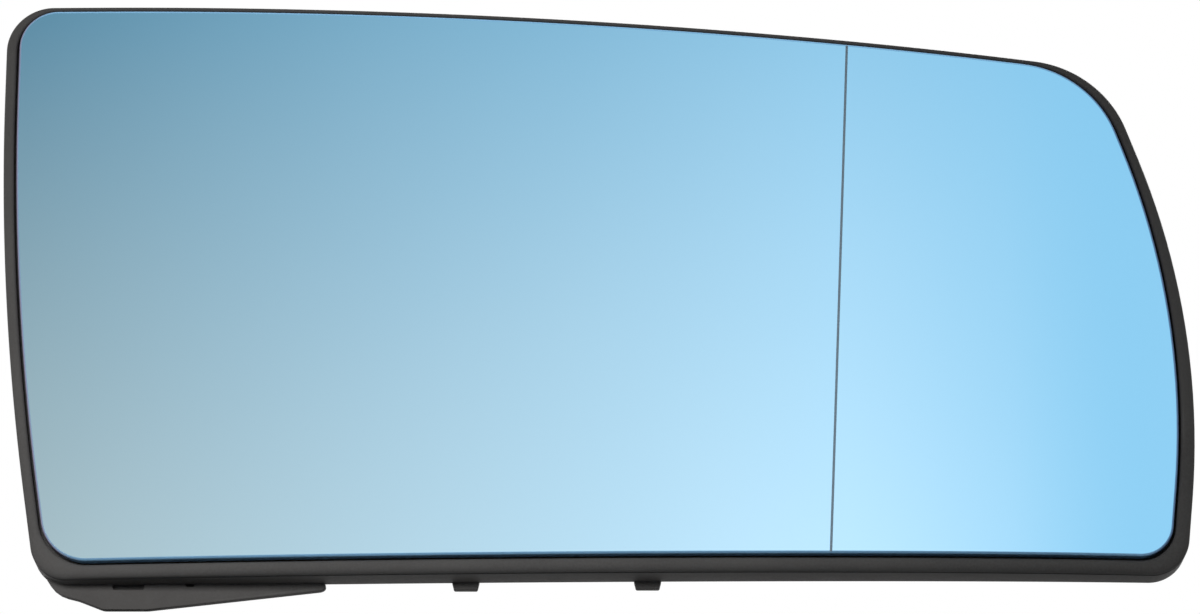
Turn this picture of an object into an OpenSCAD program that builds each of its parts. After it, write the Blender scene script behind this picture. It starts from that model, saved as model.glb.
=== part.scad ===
// Heated door mirror glass for a right-hand door: a convex blue mirror glass with an outer
// zone of tighter curvature, glued with its heater foil into a moulded backing plate.
// Millimetres. +Z is up, +X points outboard, and the glass faces -Y. The origin is in the
// middle of the hub's mouth, at the foot of its chamfer, and the hub opens along +Y.

/* [Glass outline, corners before rounding] */
// Inboard top corner, across
top_in_x = -88.2; // [-94:0.1:-82]
// Inboard top corner, height
top_in_z = 51.2; // [48:0.1:54]
// Inboard top corner, radius
top_in_r = 6.1; // [4:0.1:12]
// Bow of the top edge, across
top_bow_x = 0; // [-8:0.1:8]
// Bow of the top edge, height
top_bow_z = 49.5; // [48.5:0.1:51]
// Bow of the top edge, radius
top_bow_r = 1800; // [1000:10:2000]
// Outboard top corner, across
top_out_x = 87; // [82:0.1:90]
// Outboard top corner, height
top_out_z = 40.3; // [37:0.1:42]
// Outboard top corner, radius
top_out_r = 17.5; // [8:0.1:19]
// Bow of the outboard edge, across
out_bow_x = 101.6; // [98:0.1:106]
// Bow of the outboard edge, height
out_bow_z = -0.4; // [-5:0.1:5]
// Bow of the outboard edge, radius
out_bow_r = 127; // [60:1:200]
// Outboard bottom corner, across
foot_out_x = 97.1; // [92:0.1:99]
// Outboard bottom corner, height
foot_out_z = -41; // [-44:0.1:-39]
// Outboard bottom corner, radius
foot_out_r = 6.9; // [4:0.1:12]
// Inboard bottom corner, across
foot_in_x = -80.5; // [-84:0.1:-76]
// Inboard bottom corner, height
foot_in_z = -42.1; // [-45:0.1:-40]
// Inboard bottom corner, radius
foot_in_r = 7.6; // [4:0.1:12]
// Bow of the inboard edge, across
in_bow_x = -87.7; // [-91:0.1:-86]
// Bow of the inboard edge, height
in_bow_z = 2.8; // [-5:0.1:8]
// Bow of the inboard edge, radius
in_bow_r = 450; // [120:10:460]

/* [Glass] */
// Thickness of the glass
glass_t = 2; // [1.6:0.1:3]
// Spherical radius of the main zone
main_r = 1300; // [1200:10:1600]
// Lengthwise radius of the outer zone beside the line
outer_r = 800; // [600:10:1100]
// Lengthwise radius of the outer zone at its end
end_r = 450; // [350:10:590]
// Foremost point of the glass, across
crown_x = 6; // [-5:0.5:15]
// Foremost point of the glass, height
crown_z = 4.4; // [-2:0.1:8]
// Front of the glass at its foremost point, ahead of the hub's mouth
glass_front = 13.4; // [12.6:0.1:15]
// Width of the ground bevel round the front edge
arris = 0.4; // [0.2:0.05:0.8]
// Foot of the line that divides the zones, across
line_foot_x = 43.1; // [38:0.1:48]
// Top of the line that divides the zones, across
line_top_x = 47.4; // [42:0.1:52]
// Width of the etched line
line_w = 0.4; // [0.3:0.05:0.8]
// Depth of the etched line
line_depth = 0.08; // [0.05:0.01:0.2]
// Width of the outer zone between the line and the tighter end
outer_zone_w = 27; // [15:0.5:35]

/* [Heater foil] */
// Thickness of the heater foil
foil_t = 0.3; // [0.2:0.05:0.5]
// Margin of the foil inside the edge of the glass
foil_margin = 3; // [2:0.1:8]
// Glue film on each side of the foil
glue_t = 0.08; // [0.05:0.01:0.2]

/* [Rim of the backing plate] */
// Gap between the glass and the rim at the top, where the glass sits up against the rim
gap_top = 0.15; // [0.1:0.05:0.4]
// Gap between the glass and the rim inboard
gap_in = 0.4; // [0.2:0.05:0.6]
// Gap between the glass and the rim at the bottom
gap_bottom = 0.5; // [0.2:0.05:0.7]
// Gap between the glass and the rim outboard
gap_out = 0.4; // [0.2:0.05:0.6]
// Reach of the rim beyond the glass at the top
lip_top = 1; // [0.8:0.1:2]
// Reach of the rim beyond the glass inboard
lip_in = 2.2; // [1.5:0.1:3]
// Reach of the rim beyond the glass at the bottom
lip_bottom = 2.6; // [1.5:0.1:3]
// Reach of the rim beyond the glass along the outboard shoulder
lip_out = 2; // [1.5:0.1:3]
// Reach of the rim beyond the glass at the outboard foot
lip_out_foot = 2.8; // [1.5:0.1:3.5]
// Outer radius of the rim at the inboard top corner
rim_top_in_r = 7.3; // [6:0.1:14]
// Outer radius of the rim at the outboard top corner
rim_top_out_r = 17.2; // [10:0.1:21]
// Outer radius of the rim at the outboard bottom corner
rim_foot_out_r = 6.4; // [5:0.1:13]
// Outer radius of the rim at the inboard bottom corner
rim_foot_in_r = 6.1; // [5:0.1:13]
// Set-back of the rim behind the front of the glass
rim_setback = 0.4; // [0.2:0.1:1]
// Depth over which the front of the rim is rounded off
bead_depth = 1; // [0.5:0.1:1.5]
// Share of the rim's front that is flat
bead_land = 0.45; // [0.3:0.05:0.6]
// Thickness of the wall round the plate
wall_t = 1.3; // [1:0.1:1.6]
// Depth of the rim from its front to its rear edge, at the crown
rim_depth = 7.9; // [7.2:0.1:8.6]
// Share of the glass's curve that the rear edge of the rim follows
rear_follow = 0.7; // [0.6:0.05:0.9]

/* [Floor and ribs] */
// Thickness of the floor under the glass
floor_t = 1.8; // [1.4:0.1:2.2]
// Height of the ribs above the floor
rib_h = 3; // [2:0.1:3.2]
// Thickness of the ribs
rib_t = 1.4; // [1:0.1:2]
// Directions of the ribs in one quarter of the plate
rib_angles = [0, 35, 75];
// Distance of the low loop rib from the outside of the rim
loop_inset = 11; // [9:0.5:13]
// Height of the loop rib above the floor
loop_h = 1.2; // [0.6:0.1:1.3]
// Radius of the loop rib's corners
loop_r = 8; // [5:0.5:12]

/* [Hub] */
// Bore radius of the hub
hub_bore_r = 11; // [9:0.1:12]
// Wall of the hub
hub_wall = 2.2; // [1.6:0.1:2.4]
// Depth of the hub's bore, from the foot of its chamfer
hub_bore_depth = 8.5; // [7:0.1:8.6]
// Chamfer at the hub's mouth
hub_chamfer = 0.5; // [0.3:0.1:0.8]

/* [Snap claws] */
// Number of claws
claw_count = 8; // [8:4:8]
// Radius inside the claws
claw_r = 25; // [24.5:0.1:26]
// Thickness of a claw
claw_t = 1.5; // [1.2:0.1:1.8]
// Angle that one claw spans
claw_deg = 21; // [14:1:22]
// Inward reach of a claw's hook
hook_reach = 0.8; // [0.4:0.1:1]
// Height of a claw's hook
hook_h = 2; // [1.4:0.1:2.6]
// Height of the flat tip of a hook
hook_land = 0.4; // [0.2:0.1:0.6]
// Clearance of a claw's window inside the tip of its hook
claw_window_gap = 0.4; // [0.3:0.05:0.5]
// Distance of the claws' tips from the hub's mouth plane
claw_setback = 0.6; // [0.2:0.1:1.2]
// Width of the low ring that ties the claws, beyond them
tie_w = 1.2; // [0.8:0.1:2]
// Height of the tie ring above the floor
tie_h = 1.4; // [0.8:0.1:1.6]

/* [Retaining spring] */
// Diameter of the spring wire
wire_d = 2; // [1.6:0.1:2.2]
// Gap between a leg and the claws beside it
leg_gap = 0.45; // [0.3:0.05:0.6]
// Upper end of the legs
leg_top_z = 31; // [29:0.5:34]
// Height of the bottom bar, below the hub
bar_z = 39.2; // [38:0.1:39.6]
// Bend radius between the legs and the bar
bar_bend_r = 5; // [3:0.1:6]
// Bend radius of the turned-out ends
end_bend_r = 3; // [2.4:0.1:4]
// Straight length of the turned-out ends
end_len = 4; // [2:0.5:6]
// Distance of the wire's centre from the hub's mouth plane
wire_setback = 6; // [5.8:0.1:6.2]
// Gap between the wire and what guides it
wire_gap = 0.2; // [0.1:0.05:0.3]
// Height at which the leg keepers stand, above and below the hub
keeper_z = 24; // [22:0.5:26]
// Length of a keeper along the wire
keeper_len = 5; // [3:0.5:7]
// Thickness of a keeper
keeper_t = 1.4; // [1:0.1:1.6]
// Reach of a keeper's arm past the middle of the wire
keeper_reach = 0.5; // [0.2:0.1:0.8]

/* [Heater terminals] */
// Width of a blade
blade_w = 6.3; // [4.8:0.1:6.8]
// Thickness of the strip
blade_t = 0.8; // [0.5:0.1:1]
// Height of a blade over its seat
blade_h = 8.4; // [7:0.1:9]
// Length of a terminal's foot
foot_len = 10; // [9:0.5:12]
// Chamfer at the tip of a blade
blade_chamfer = 0.9; // [0.5:0.1:1.4]
// Radius of the latch hole in a blade
latch_r = 0.9; // [0.6:0.1:1.1]
// Distance of the latch hole from the blade's tip
latch_drop = 2.7; // [2:0.1:3.5]
// Distance of the blades inboard of the hub
blade_x = 40; // [36:0.5:46]
// Height of the lower terminal
blade_z = 8; // [6:0.5:9]
// Pitch between the two terminals
blade_pitch = 12; // [10:0.5:13]
// Edge of the seat round a terminal's foot
seat_edge = 0.8; // [0.5:0.1:1.2]
// Height of a seat over the floor at its far corner
seat_h = 0.3; // [0.2:0.1:0.8]
// Place of the rivet along a terminal's foot, as a share of the foot
rivet_share = 0.62; // [0.5:0.02:0.7]
// Shank radius of a rivet
rivet_r = 1.4; // [1:0.1:1.6]
// Head radius of a rivet
rivet_head_r = 2.4; // [2:0.1:2.8]
// Height of a rivet's head
rivet_head_h = 0.7; // [0.4:0.1:0.9]
// Share of the head's radius that is left at its top
rivet_crown = 0.7; // [0.5:0.05:0.9]
// Gap round a rivet
rivet_gap = 0.1; // [0.05:0.05:0.2]

/* [Flange and tabs under the rim] */
// Front of the flange, ahead of the hub's mouth
flange_front = 5.2; // [4.9:0.1:5.6]
// Thickness of the flange and the tabs
flange_t = 1.6; // [1.2:0.1:2]
// Drop of the flange below the rim
flange_drop = 4.1; // [3:0.1:7]
// Reach of the flange's root beyond the glass's inboard bottom corner
flange_root_out = 0.9; // [0.6:0.1:1.1]
// Drop of the flange's root below that corner
flange_root_drop = 0.7; // [0.4:0.1:0.9]
// Radii of the flange's corners, from its outboard end round its foot to its inboard side
flange_rounding = [0, 0.6, 1.2, 3, 2, 4, 5, 0, 0];
// From the glass's inboard bottom corner to the flange's lower inboard corner, across
flange_hip_run = 1.4; // [0.6:0.1:2.4]
// Lower inboard corner of the flange, below the rim
flange_hip_drop = 1.6; // [1:0.1:1.8]
// From that corner to the hollow beside it, across
flange_dip_run = 3.5; // [3:0.1:5]
// Hollow beside the foot, below the rim
flange_dip_drop = 2.5; // [1.8:0.1:3.2]
// From the hollow to the flange's straight foot, across
flange_foot_run = 4; // [3:0.1:5]
// Length of the flange's straight foot
flange_foot_len = 7; // [5:0.1:10]
// From the straight foot to the flange's outboard end
flange_end_run = 27.4; // [22:0.1:32]
// Length over which the flange's outboard end slopes up into the rim, in each of two steps
flange_end_slope = 1; // [0.6:0.1:2]
// Drop of the flange at its outboard end
flange_end_drop = 1.2; // [0.8:0.1:2.5]
// Middle, width and height of each recess in the flange's front, just under the rim
recesses = [[-67.8, 5, 0.9], [-58, 1.4, 0.5]];
// Depth of those recesses
recess_depth = 1; // [0.4:0.1:1.2]
// Distance of each tab from the middle
tab_x = 14.4; // [13.5:0.1:16]
// Width of a tab
tab_w = 4; // [3:0.1:5]
// Drop of a tab below the rim
tab_drop = 1.2; // [0.9:0.1:3]
// Fillet at the root of a tab
tab_fillet = 0.7; // [0.4:0.1:1]

/* [Hidden] */
$fn = 64;

// Longest step along the outline and largest step round a corner
step_len = 9;
step_deg = 9;
// Smallest corner radius of an inset outline
least_r = 0.5;
// Largest step round the rounded corners of a flat shape
soft_deg = 15;
// Overlap that fuses shapes of one moulding
bond = 0.3;
// Surplus of a cutting shape beyond what it cuts
over = 1;
// Rings between the edge of a curved sheet and its middle strip, and the strip's share of a step
spine_rings = 4;
strip_share = 0.7;

// Distance of each leg of the spring from the middle, clear of the claws beside it
leg_x = claw_r * cos(180 / claw_count + claw_deg / 2) - wire_d / 2 - leg_gap;

// Corners of the glass outline, anticlockwise seen from the front: x, z, glass radius, rim radius.
// A bow has one radius for both.
corners = [
    [top_in_x, top_in_z, top_in_r, rim_top_in_r],
    [in_bow_x, in_bow_z, in_bow_r, in_bow_r],
    [foot_in_x, foot_in_z, foot_in_r, rim_foot_in_r],
    [foot_out_x, foot_out_z, foot_out_r, rim_foot_out_r],
    [out_bow_x, out_bow_z, out_bow_r, out_bow_r],
    [top_out_x, top_out_z, top_out_r, rim_top_out_r],
    [top_bow_x, top_bow_z, top_bow_r, top_bow_r]
];
// Reach of the rim beyond the glass along the edge that leaves each corner, and the gap there
lips = [lip_in, lip_in, lip_bottom, lip_out_foot, lip_out, lip_top, lip_top];
gaps = [gap_in, gap_in, gap_bottom, gap_out, gap_out, gap_top, gap_top];
sides = len(corners);

// Depths behind the front of the glass
foil_front_d = glass_t + glue_t;
foil_rear_d = foil_front_d + foil_t;
floor_front_d = foil_rear_d + glue_t;
floor_rear_d = floor_front_d + floor_t;
floor_rear = floor_rear_d - glass_front;
rim_rear = rim_setback + rim_depth - glass_front;

// The three arcs of the glass's lengthwise section, as centre height over the crown and across
line_x = (line_foot_x + line_top_x) / 2;
line_deg = asin((line_x - crown_x) / main_r);
outer_c = [main_r - (main_r - outer_r) * cos(line_deg), crown_x + (main_r - outer_r) * sin(line_deg)];
end_x = line_x + outer_zone_w;
end_deg = asin((end_x - outer_c[1]) / outer_r);
end_c = [outer_c[0] - (outer_r - end_r) * cos(end_deg), outer_c[1] + (outer_r - end_r) * sin(end_deg)];

// Ends of the spine that curved sheets are drawn in towards, as shares of the way to each side
spine_in_share = 0.73;
spine_out_share = 0.55;
spine_in = [in_bow_x * spine_in_share, crown_z];
spine_out = [out_bow_x * spine_out_share, crown_z / 2];

// Depth of the glass's front behind its crown, along the middle and at any point
function arc_depth(c, r, x) = c[0] - sqrt(r * r - (x - c[1]) * (x - c[1]));
function section_depth(x) =
    x < line_x ? arc_depth([main_r, crown_x], main_r, x)
    : x < end_x ? arc_depth(outer_c, outer_r, x)
    : arc_depth(end_c, end_r, x);
function curve_depth(x, z) =
    main_r - sqrt(pow(main_r - section_depth(x), 2) - pow(z - crown_z, 2));

// Helpers for the rounded outline
function unit(v) = v / norm(v);
function at(i) = [corners[i % sides][0], corners[i % sides][1]];
function edge_dir(i) = unit(at(i + 1) - at(i));
function outward(i) = [edge_dir(i)[1], -edge_dir(i)[0]];
function turn_deg(i) =
    acos(edge_dir(i + sides - 1) * edge_dir(i));

// Corner i of the outline when edge i moves outward by reach[i]
function moved(i, reach) =
    let (j = (i + sides - 1) % sides, a = at(i) + outward(j) * reach[j], u = edge_dir(j), n = outward(i))
    a + u * (((at(i) + n * reach[i] - a) * n) / (u * n));

// Length of a corner's rounding along each edge beside it
function tangent(i, r) = r * tan(turn_deg(i) / 2);

// The wide bows give way to the corners beside them where an edge is too short for both
function fitted(i, pts, radii) =
    let (j = (i + sides - 1) % sides, k = (i + 1) % sides,
         room = min(norm(pts[i] - pts[j]) - tangent(j, radii[j]),
                    norm(pts[k] - pts[i]) - tangent(k, radii[k])))
    corners[i][2] != corners[i][3] ? radii[i] : min(radii[i], (room - least_r) / tan(turn_deg(i) / 2));

// Points of corner i's rounding and of the straight stretch that follows it
function corner_pts(i, p, r) =
    let (half = turn_deg(i) / 2, u = edge_dir(i + sides - 1), n = outward(i + sides - 1),
         c = p - u * r * tan(half) - n * r,
         count = max(2, ceil(2 * half / step_deg), ceil(2 * half * corners[i][2] * PI / 180 / step_len)))
    [for (k = [0 : count]) let (a = 2 * half * k / count) c + r * (n * cos(a) + u * sin(a))];
function straight_len(i) =
    norm(at(i + 1) - at(i)) - tangent(i, corners[i][2])
    - tangent((i + 1) % sides, corners[(i + 1) % sides][2]);
function mid_pts(a, b, i) =
    let (count = max(1, ceil(straight_len(i) / step_len)))
    [for (k = [1 : 1 : count - 1]) a + (b - a) * k / count];

// Outline between the edge of the glass plus its gap (share 0) and the outside of the rim (share 1),
// then inset all round, with no corner sharper than the least radius
function outline(share, inset = 0, least = least_r, gap = gaps) =
    let (reach = [for (i = [0 : sides - 1]) gap[i] + share * (lips[i] - gap[i]) - inset],
         radii = [for (i = [0 : sides - 1]) let (c = corners[i])
             max(least, c[2] + gap[i] + share * (c[3] - c[2] - gap[i]) - inset)],
         pts = [for (i = [0 : sides - 1]) moved(i, reach)],
         arcs = [for (i = [0 : sides - 1]) corner_pts(i, pts[i], fitted(i, pts, radii))])
    [for (i = [0 : sides - 1]) each concat(arcs[i],
        mid_pts(arcs[i][len(arcs[i]) - 1], arcs[(i + 1) % sides][0], i))];
function glass_outline(inset = 0) = outline(0, inset, least_r, 0 * gaps);

// Polygon with its corners rounded, each by its own radius
function softened(pts, radii) = [for (i = [0 : len(pts) - 1])
    let (p = pts[i], r = radii[i], u = unit(p - pts[(i + len(pts) - 1) % len(pts)]),
         v = unit(pts[(i + 1) % len(pts)] - p), side = u[0] * v[1] > u[1] * v[0] ? 1 : -1,
         deg = acos(max(-1, min(1, u * v))), n = side * [-u[1], u[0]],
         c = p - u * r * tan(deg / 2) + n * r, count = max(1, ceil(deg / soft_deg)))
    each r == 0 ? [p]
        : [for (k = [0 : count]) c - n * r * cos(deg * k / count) + u * r * sin(deg * k / count)]];

// Stand an outline drawn in X and Z up in the part's frame, from y0 to y1
module stand(y0, y1) {
    translate([0, y1, 0]) rotate([90, 0, 0]) linear_extrude(y1 - y0) children();
}

// Turn a shape made along +Z to run along +Y
module along_y() {
    rotate([-90, 0, 0]) children();
}

// Points of an outline set at a depth behind the glass's front, or near the rim's rear edge
function at_depth(pts, d) = [for (p = pts) [p[0], curve_depth(p[0], p[1]) + d - glass_front, p[1]]];
function at_rear(pts, d) = [for (p = pts) [p[0], rear_follow * curve_depth(p[0], p[1]) + rim_rear - d, p[1]]];

// The outline drawn in towards the spine, down to the last narrow strip
function to_spine(p) =
    let (share = (p[0] - spine_in[0]) / (spine_out[0] - spine_in[0]))
    spine_in + (spine_out - spine_in) * min(1, max(0, share));
function drawn_in(pts, s) = [for (p = pts) let (q = to_spine(p)) q + (p - q) * s];
function field(pts, d) =
    [for (k = [spine_rings : -1 : 1]) at_depth(drawn_in(pts, k / (spine_rings + strip_share)), d)];

// Faces between rings of points that all have the same count
function ring_faces(rings, count) =
    [for (r = [0 : len(rings) - 2], k = [0 : count - 1])
        let (a = r * count, b = a + count, m = (k + 1) % count)
        each [[a + k, b + k, b + m], [a + k, b + m, a + m]]];

// Triangles that zip a narrow strip shut between its lower and upper points, from end to end
function zipped(pts, lower, upper, i = 0, j = 0) =
    let (low_end = i == len(lower) - 1, up_end = j == len(upper) - 1)
    low_end && up_end ? []
    : up_end || (!low_end && pts[lower[i + 1]][0] <= pts[upper[j + 1]][0])
        ? concat([[lower[i], lower[i + 1], upper[j]]], zipped(pts, lower, upper, i + 1, j))
        : concat([[lower[i], upper[j + 1], upper[j]]], zipped(pts, lower, upper, i, j + 1));
function cap_faces(ring) =
    let (count = len(ring), xs = [for (p = ring) p[0]],
         first = search(min(xs), xs)[0], last = search(max(xs), xs)[0],
         lower = [for (k = [0 : (last - first + count) % count]) (first + k) % count],
         upper = [for (k = [1 : (first - last + count) % count - 1]) (first - k + count) % count])
    zipped(ring, lower, upper);

// Solid that runs through rings of points, from a strip on the front to a strip on the rear
module ringed(rings) {
    count = len(rings[0]);
    rear = (len(rings) - 1) * count;
    faces = concat(
        [for (f = cap_faces(rings[0])) backwards(f)],
        [for (f = ring_faces(rings, count)) backwards(f)],
        [for (f = cap_faces(rings[len(rings) - 1])) f + [rear, rear, rear]]);
    polyhedron(points = [for (ring = rings) each ring], faces = faces, convexity = 10);
}
function backwards(list) = [for (k = [len(list) - 1 : -1 : 0]) list[k]];

// Curved sheet between two depths, with its front edge bevelled
module sheet(pts, bevelled, d0, d1, bevel) {
    ringed(concat(backwards(field(bevelled, d0)), [at_depth(bevelled, d0)],
        bevel > 0 ? [at_depth(pts, d0 + bevel)] : [], [at_depth(pts, d1)], field(pts, d1)));
}

// Floor, rounded rim and wall in one
module tray() {
    inner_round = 0.15;
    rear_round = 0.3;
    bead = [for (a = [0 : 22.5 : 90])
        at_depth(outline(bead_land + (1 - bead_land) * sin(a)), rim_setback + bead_depth * (1 - cos(a)))];
    inner = outline(1, wall_t);
    ringed(concat(
        backwards(field(outline(0), floor_front_d)),
        [at_depth(outline(0), floor_front_d), at_depth(outline(0), rim_setback + inner_round),
         at_depth(outline(0, -inner_round), rim_setback)],
        bead,
        [at_rear(outline(1), rear_round), at_rear(outline(1, rear_round), 0),
         at_rear(outline(1, wall_t - rear_round / 2), 0), at_rear(inner, rear_round),
         at_depth(inner, floor_rear_d)],
        field(inner, floor_rear_d)));
}

// Etched line that divides the zones, cut down from above the glass
module zone_line() {
    steps = 24;
    overrun = 3;
    low = foot_in_z - overrun;
    high = top_in_z + overrun;
    function line_at(z) = line_foot_x + (line_top_x - line_foot_x) * (z - foot_in_z) / (top_in_z - foot_in_z);
    rings = [for (k = [0 : steps])
        let (z = low + (high - low) * k / steps, x = line_at(z),
             deep = curve_depth(x, z) + line_depth - glass_front)
        [[x - line_w / 2, deep - over, z], [x + line_w / 2, deep - over, z],
         [x + line_w / 2, deep, z], [x - line_w / 2, deep, z]]];
    end = steps * 4;
    polyhedron(points = [for (ring = rings) each ring], faces = concat([[0, 1, 2, 3]], ring_faces(rings, 4),
        [[end + 3, end + 2, end + 1, end]]), convexity = 2);
}

module mirror_glass() {
    color([0.62, 0.83, 0.95]) difference() {
        sheet(glass_outline(), glass_outline(arris), 0, glass_t, arris);
        zone_line();
    }
}

module heater_foil() {
    edge = glass_outline(foil_margin);
    color([0.75, 0.5, 0.2]) sheet(edge, edge, foil_front_d, foil_rear_d, 0);
}

// Distance from the hub's axis to a convex outline around it
function reach_to(pts, way) =
    min([for (k = [0 : len(pts) - 1])
        let (a = pts[k], e = pts[(k + 1) % len(pts)] - a, n = [e[1], -e[0]])
        if (n * way > 0.001) (n * a) / (n * way)]);

// Rib from the ring of claws to the wall, with its foot in the floor and its back along the curve
module rib_at(a) {
    way = [cos(a), sin(a)];
    from = claw_r + claw_t;
    to = reach_to(outline(1, wall_t - bond), way);
    steps = ceil((to - from) / step_len);
    function floor_y(t) = curve_depth(way[0] * t, way[1] * t) + floor_rear;
    stations = [for (k = [0 : steps]) from + (to - from) * k / steps];
    rotate([0, -a, 0]) translate([0, 0, -rib_t / 2]) linear_extrude(rib_t) polygon(concat(
        [for (t = stations) [t, floor_y(t) - bond]],
        [for (t = backwards(stations)) [t, floor_y(t) + rib_h]]));
}

module ribs() {
    for (a = rib_angles, sx = [0, 1], sz = [-1, 1])
        if (a > 0 || sz > 0) rib_at(sx * 180 + sz * a);
}

// Low rib that runs round the floor, parallel to the wall
module loop_rib() {
    outer = outline(1, loop_inset, loop_r);
    inner = outline(1, loop_inset + rib_t, loop_r - rib_t);
    foot = at_depth(outer, floor_rear_d - bond);
    loops = [foot, at_depth(outer, floor_rear_d + loop_h), at_depth(inner, floor_rear_d + loop_h),
             at_depth(inner, floor_rear_d - bond)];
    count = len(outer);
    faces = ring_faces(concat(loops, [foot]), count);
    polyhedron(points = [for (loop = loops) each loop], convexity = 10,
        faces = [for (f = faces) backwards([for (k = f) k % (4 * count)])]);
}

module claw_at(a) {
    tip = -claw_setback;
    along_y() rotate_extrude(angle = claw_deg, start = a - claw_deg / 2)
        polygon([[claw_r, floor_rear - bond], [claw_r + claw_t, floor_rear - bond], [claw_r + claw_t, tip],
                 [claw_r, tip], [claw_r - hook_reach, tip - hook_h / 2],
                 [claw_r - hook_reach, tip - hook_h / 2 - hook_land],
                 [claw_r, tip - hook_h]]);
}

// Window through the floor under a claw's hook, so that the hook can be moulded
module claw_window_at(a) {
    slack = 1;
    along_y() rotate_extrude(angle = claw_deg + 2 * slack, start = a - claw_deg / 2 - slack)
        translate([claw_r - hook_reach - claw_window_gap, -glass_front])
            square([hook_reach + claw_window_gap, glass_front + floor_rear + over]);
}

function claw_angle(k) = (k + 0.5) * 360 / claw_count;

// Hook that holds the wire, standing beside it at the origin and reaching over it towards -X
module keeper() {
    post_x = wire_d / 2 + wire_gap;
    rear = -wire_setback + wire_d / 2 + wire_gap;
    translate([post_x, floor_rear - bond, -keeper_len / 2])
        cube([keeper_t, rear + keeper_t - floor_rear + bond, keeper_len]);
    translate([-keeper_reach, rear, -keeper_len / 2])
        cube([post_x + keeper_reach + bond, keeper_t, keeper_len]);
}

module keepers() {
    for (s = [-1, 1]) translate([leg_x, 0, s * keeper_z]) keeper();
    mirror([1, 0, 0]) for (s = [-1, 1]) translate([leg_x, 0, s * keeper_z]) keeper();
    translate([0, 0, -bar_z]) rotate([0, -90, 0]) keeper();
}

// Saddles in the ribs that the bottom bar lies in
module bar_channel() {
    slot = wire_d + 2 * wire_gap;
    translate([-leg_x, -wire_setback - slot / 2, -bar_z - slot / 2]) cube([2 * leg_x, glass_front, slot]);
}

function terminal_z(k) = blade_z + k * blade_pitch;

// The terminals' seats stand square to the hub, with their far corner just above the curved floor
seat_in_x = -blade_x - foot_len - seat_edge;
seat_out_x = -blade_x + seat_edge;
seat_rear = floor_rear + curve_depth(seat_in_x, terminal_z(1) + blade_w / 2 + seat_edge) + seat_h;
seat_root = floor_rear + curve_depth(seat_out_x, terminal_z(0)) - bond;

module terminal_seats() {
    for (k = [0, 1]) translate([seat_in_x, seat_root, terminal_z(k) - blade_w / 2 - seat_edge])
        cube([seat_out_x - seat_in_x, seat_rear - seat_root, blade_w + 2 * seat_edge]);
}

rivet_x = -blade_x - foot_len * rivet_share;
// Bottom of the pockets for the rivets' front heads, at the curve's depth there
rivet_pocket = curve_depth(rivet_x, terminal_z(1)) + floor_front_d - glass_front + rivet_head_h;

module rivet_holes() {
    for (k = [0, 1]) translate([rivet_x, -glass_front, terminal_z(k)]) along_y() {
        cylinder(r = rivet_r + rivet_gap, h = glass_front);
        cylinder(r = rivet_head_r + rivet_gap, h = rivet_pocket + glass_front);
    }
}

module hub() {
    along_y() translate([0, 0, floor_rear - bond])
        cylinder(r = hub_bore_r + hub_wall, h = hub_chamfer + bond - floor_rear);
}

module hub_bore() {
    along_y() {
        translate([0, 0, -hub_bore_depth]) cylinder(r = hub_bore_r, h = hub_bore_depth + over);
        cylinder(r1 = hub_bore_r, r2 = hub_bore_r + hub_chamfer, h = hub_chamfer);
        translate([0, 0, hub_chamfer]) cylinder(r = hub_bore_r + hub_chamfer, h = over);
    }
}

// Low ring that ties the claws together, from the middle of their wall outward
module tie_ring() {
    along_y() translate([0, 0, floor_rear - bond]) difference() {
        cylinder(r = claw_r + claw_t + tie_w, h = tie_h + bond);
        translate([0, 0, -over]) cylinder(r = claw_r + claw_t / 2, h = tie_h + 2 * over);
    }
}

// Rim's lower outside line at any place along the bottom
function rim_foot_z(x) =
    foot_in_z - lip_bottom + (foot_out_z - foot_in_z) * (x - foot_in_x) / (foot_out_x - foot_in_x);

// Places of the flange's corners along the rim
flange_hip = foot_in_x + flange_hip_run;
flange_dip = flange_hip + flange_dip_run;
flange_foot_in = flange_dip + flange_foot_run;
flange_foot_out = flange_foot_in + flange_foot_len;
flange_end = flange_foot_out + flange_end_run;

// Flange that hangs below the rim at its inboard end, with recesses where it meets the rim. Its
// upper edge ends in the middle of the wall.
module flange() {
    buried = 1;
    root = [foot_in_x - flange_root_out, foot_in_z - flange_root_drop];
    foot_z = rim_foot_z(flange_foot_in) - flange_drop;
    end_z = rim_foot_z(flange_end);
    edge = [
        [flange_end + 2 * flange_end_slope, end_z + buried],
        [flange_end + flange_end_slope, end_z - flange_end_drop / 2],
        [flange_end, end_z - flange_end_drop],
        [flange_foot_out, foot_z],
        [flange_foot_in, foot_z],
        [flange_dip, rim_foot_z(flange_dip) - flange_dip_drop],
        [flange_hip, rim_foot_z(flange_hip) - flange_hip_drop],
        root,
        root + [buried, buried]];
    difference() {
        stand(-flange_front, -flange_front + flange_t) difference() {
            polygon(softened(edge, flange_rounding));
            polygon(outline(1, wall_t / 2));
        }
        for (recess = recesses)
            translate([recess[0] - recess[1] / 2, -flange_front - over, rim_foot_z(recess[0]) - recess[2]])
                cube([recess[1], over + recess_depth, recess[2] + buried]);
    }
}

module tab_at(x) {
    root = rim_foot_z(x);
    taper = 0.3;
    inside = 1;
    stand(-flange_front, -flange_front + flange_t) difference() {
        polygon([
            [x - tab_w / 2 - tab_fillet, root + inside], [x - tab_w / 2 - tab_fillet, root],
            [x - tab_w / 2, root - tab_fillet], [x - tab_w / 2 + taper, root - tab_drop],
            [x + tab_w / 2 - taper, root - tab_drop], [x + tab_w / 2, root - tab_fillet],
            [x + tab_w / 2 + tab_fillet, root], [x + tab_w / 2 + tab_fillet, root + inside]]);
        for (s = [-1, 1]) translate([x + s * (tab_w / 2 + tab_fillet), root - tab_fillet])
            circle(r = tab_fillet, $fn = 24);
    }
}

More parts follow.
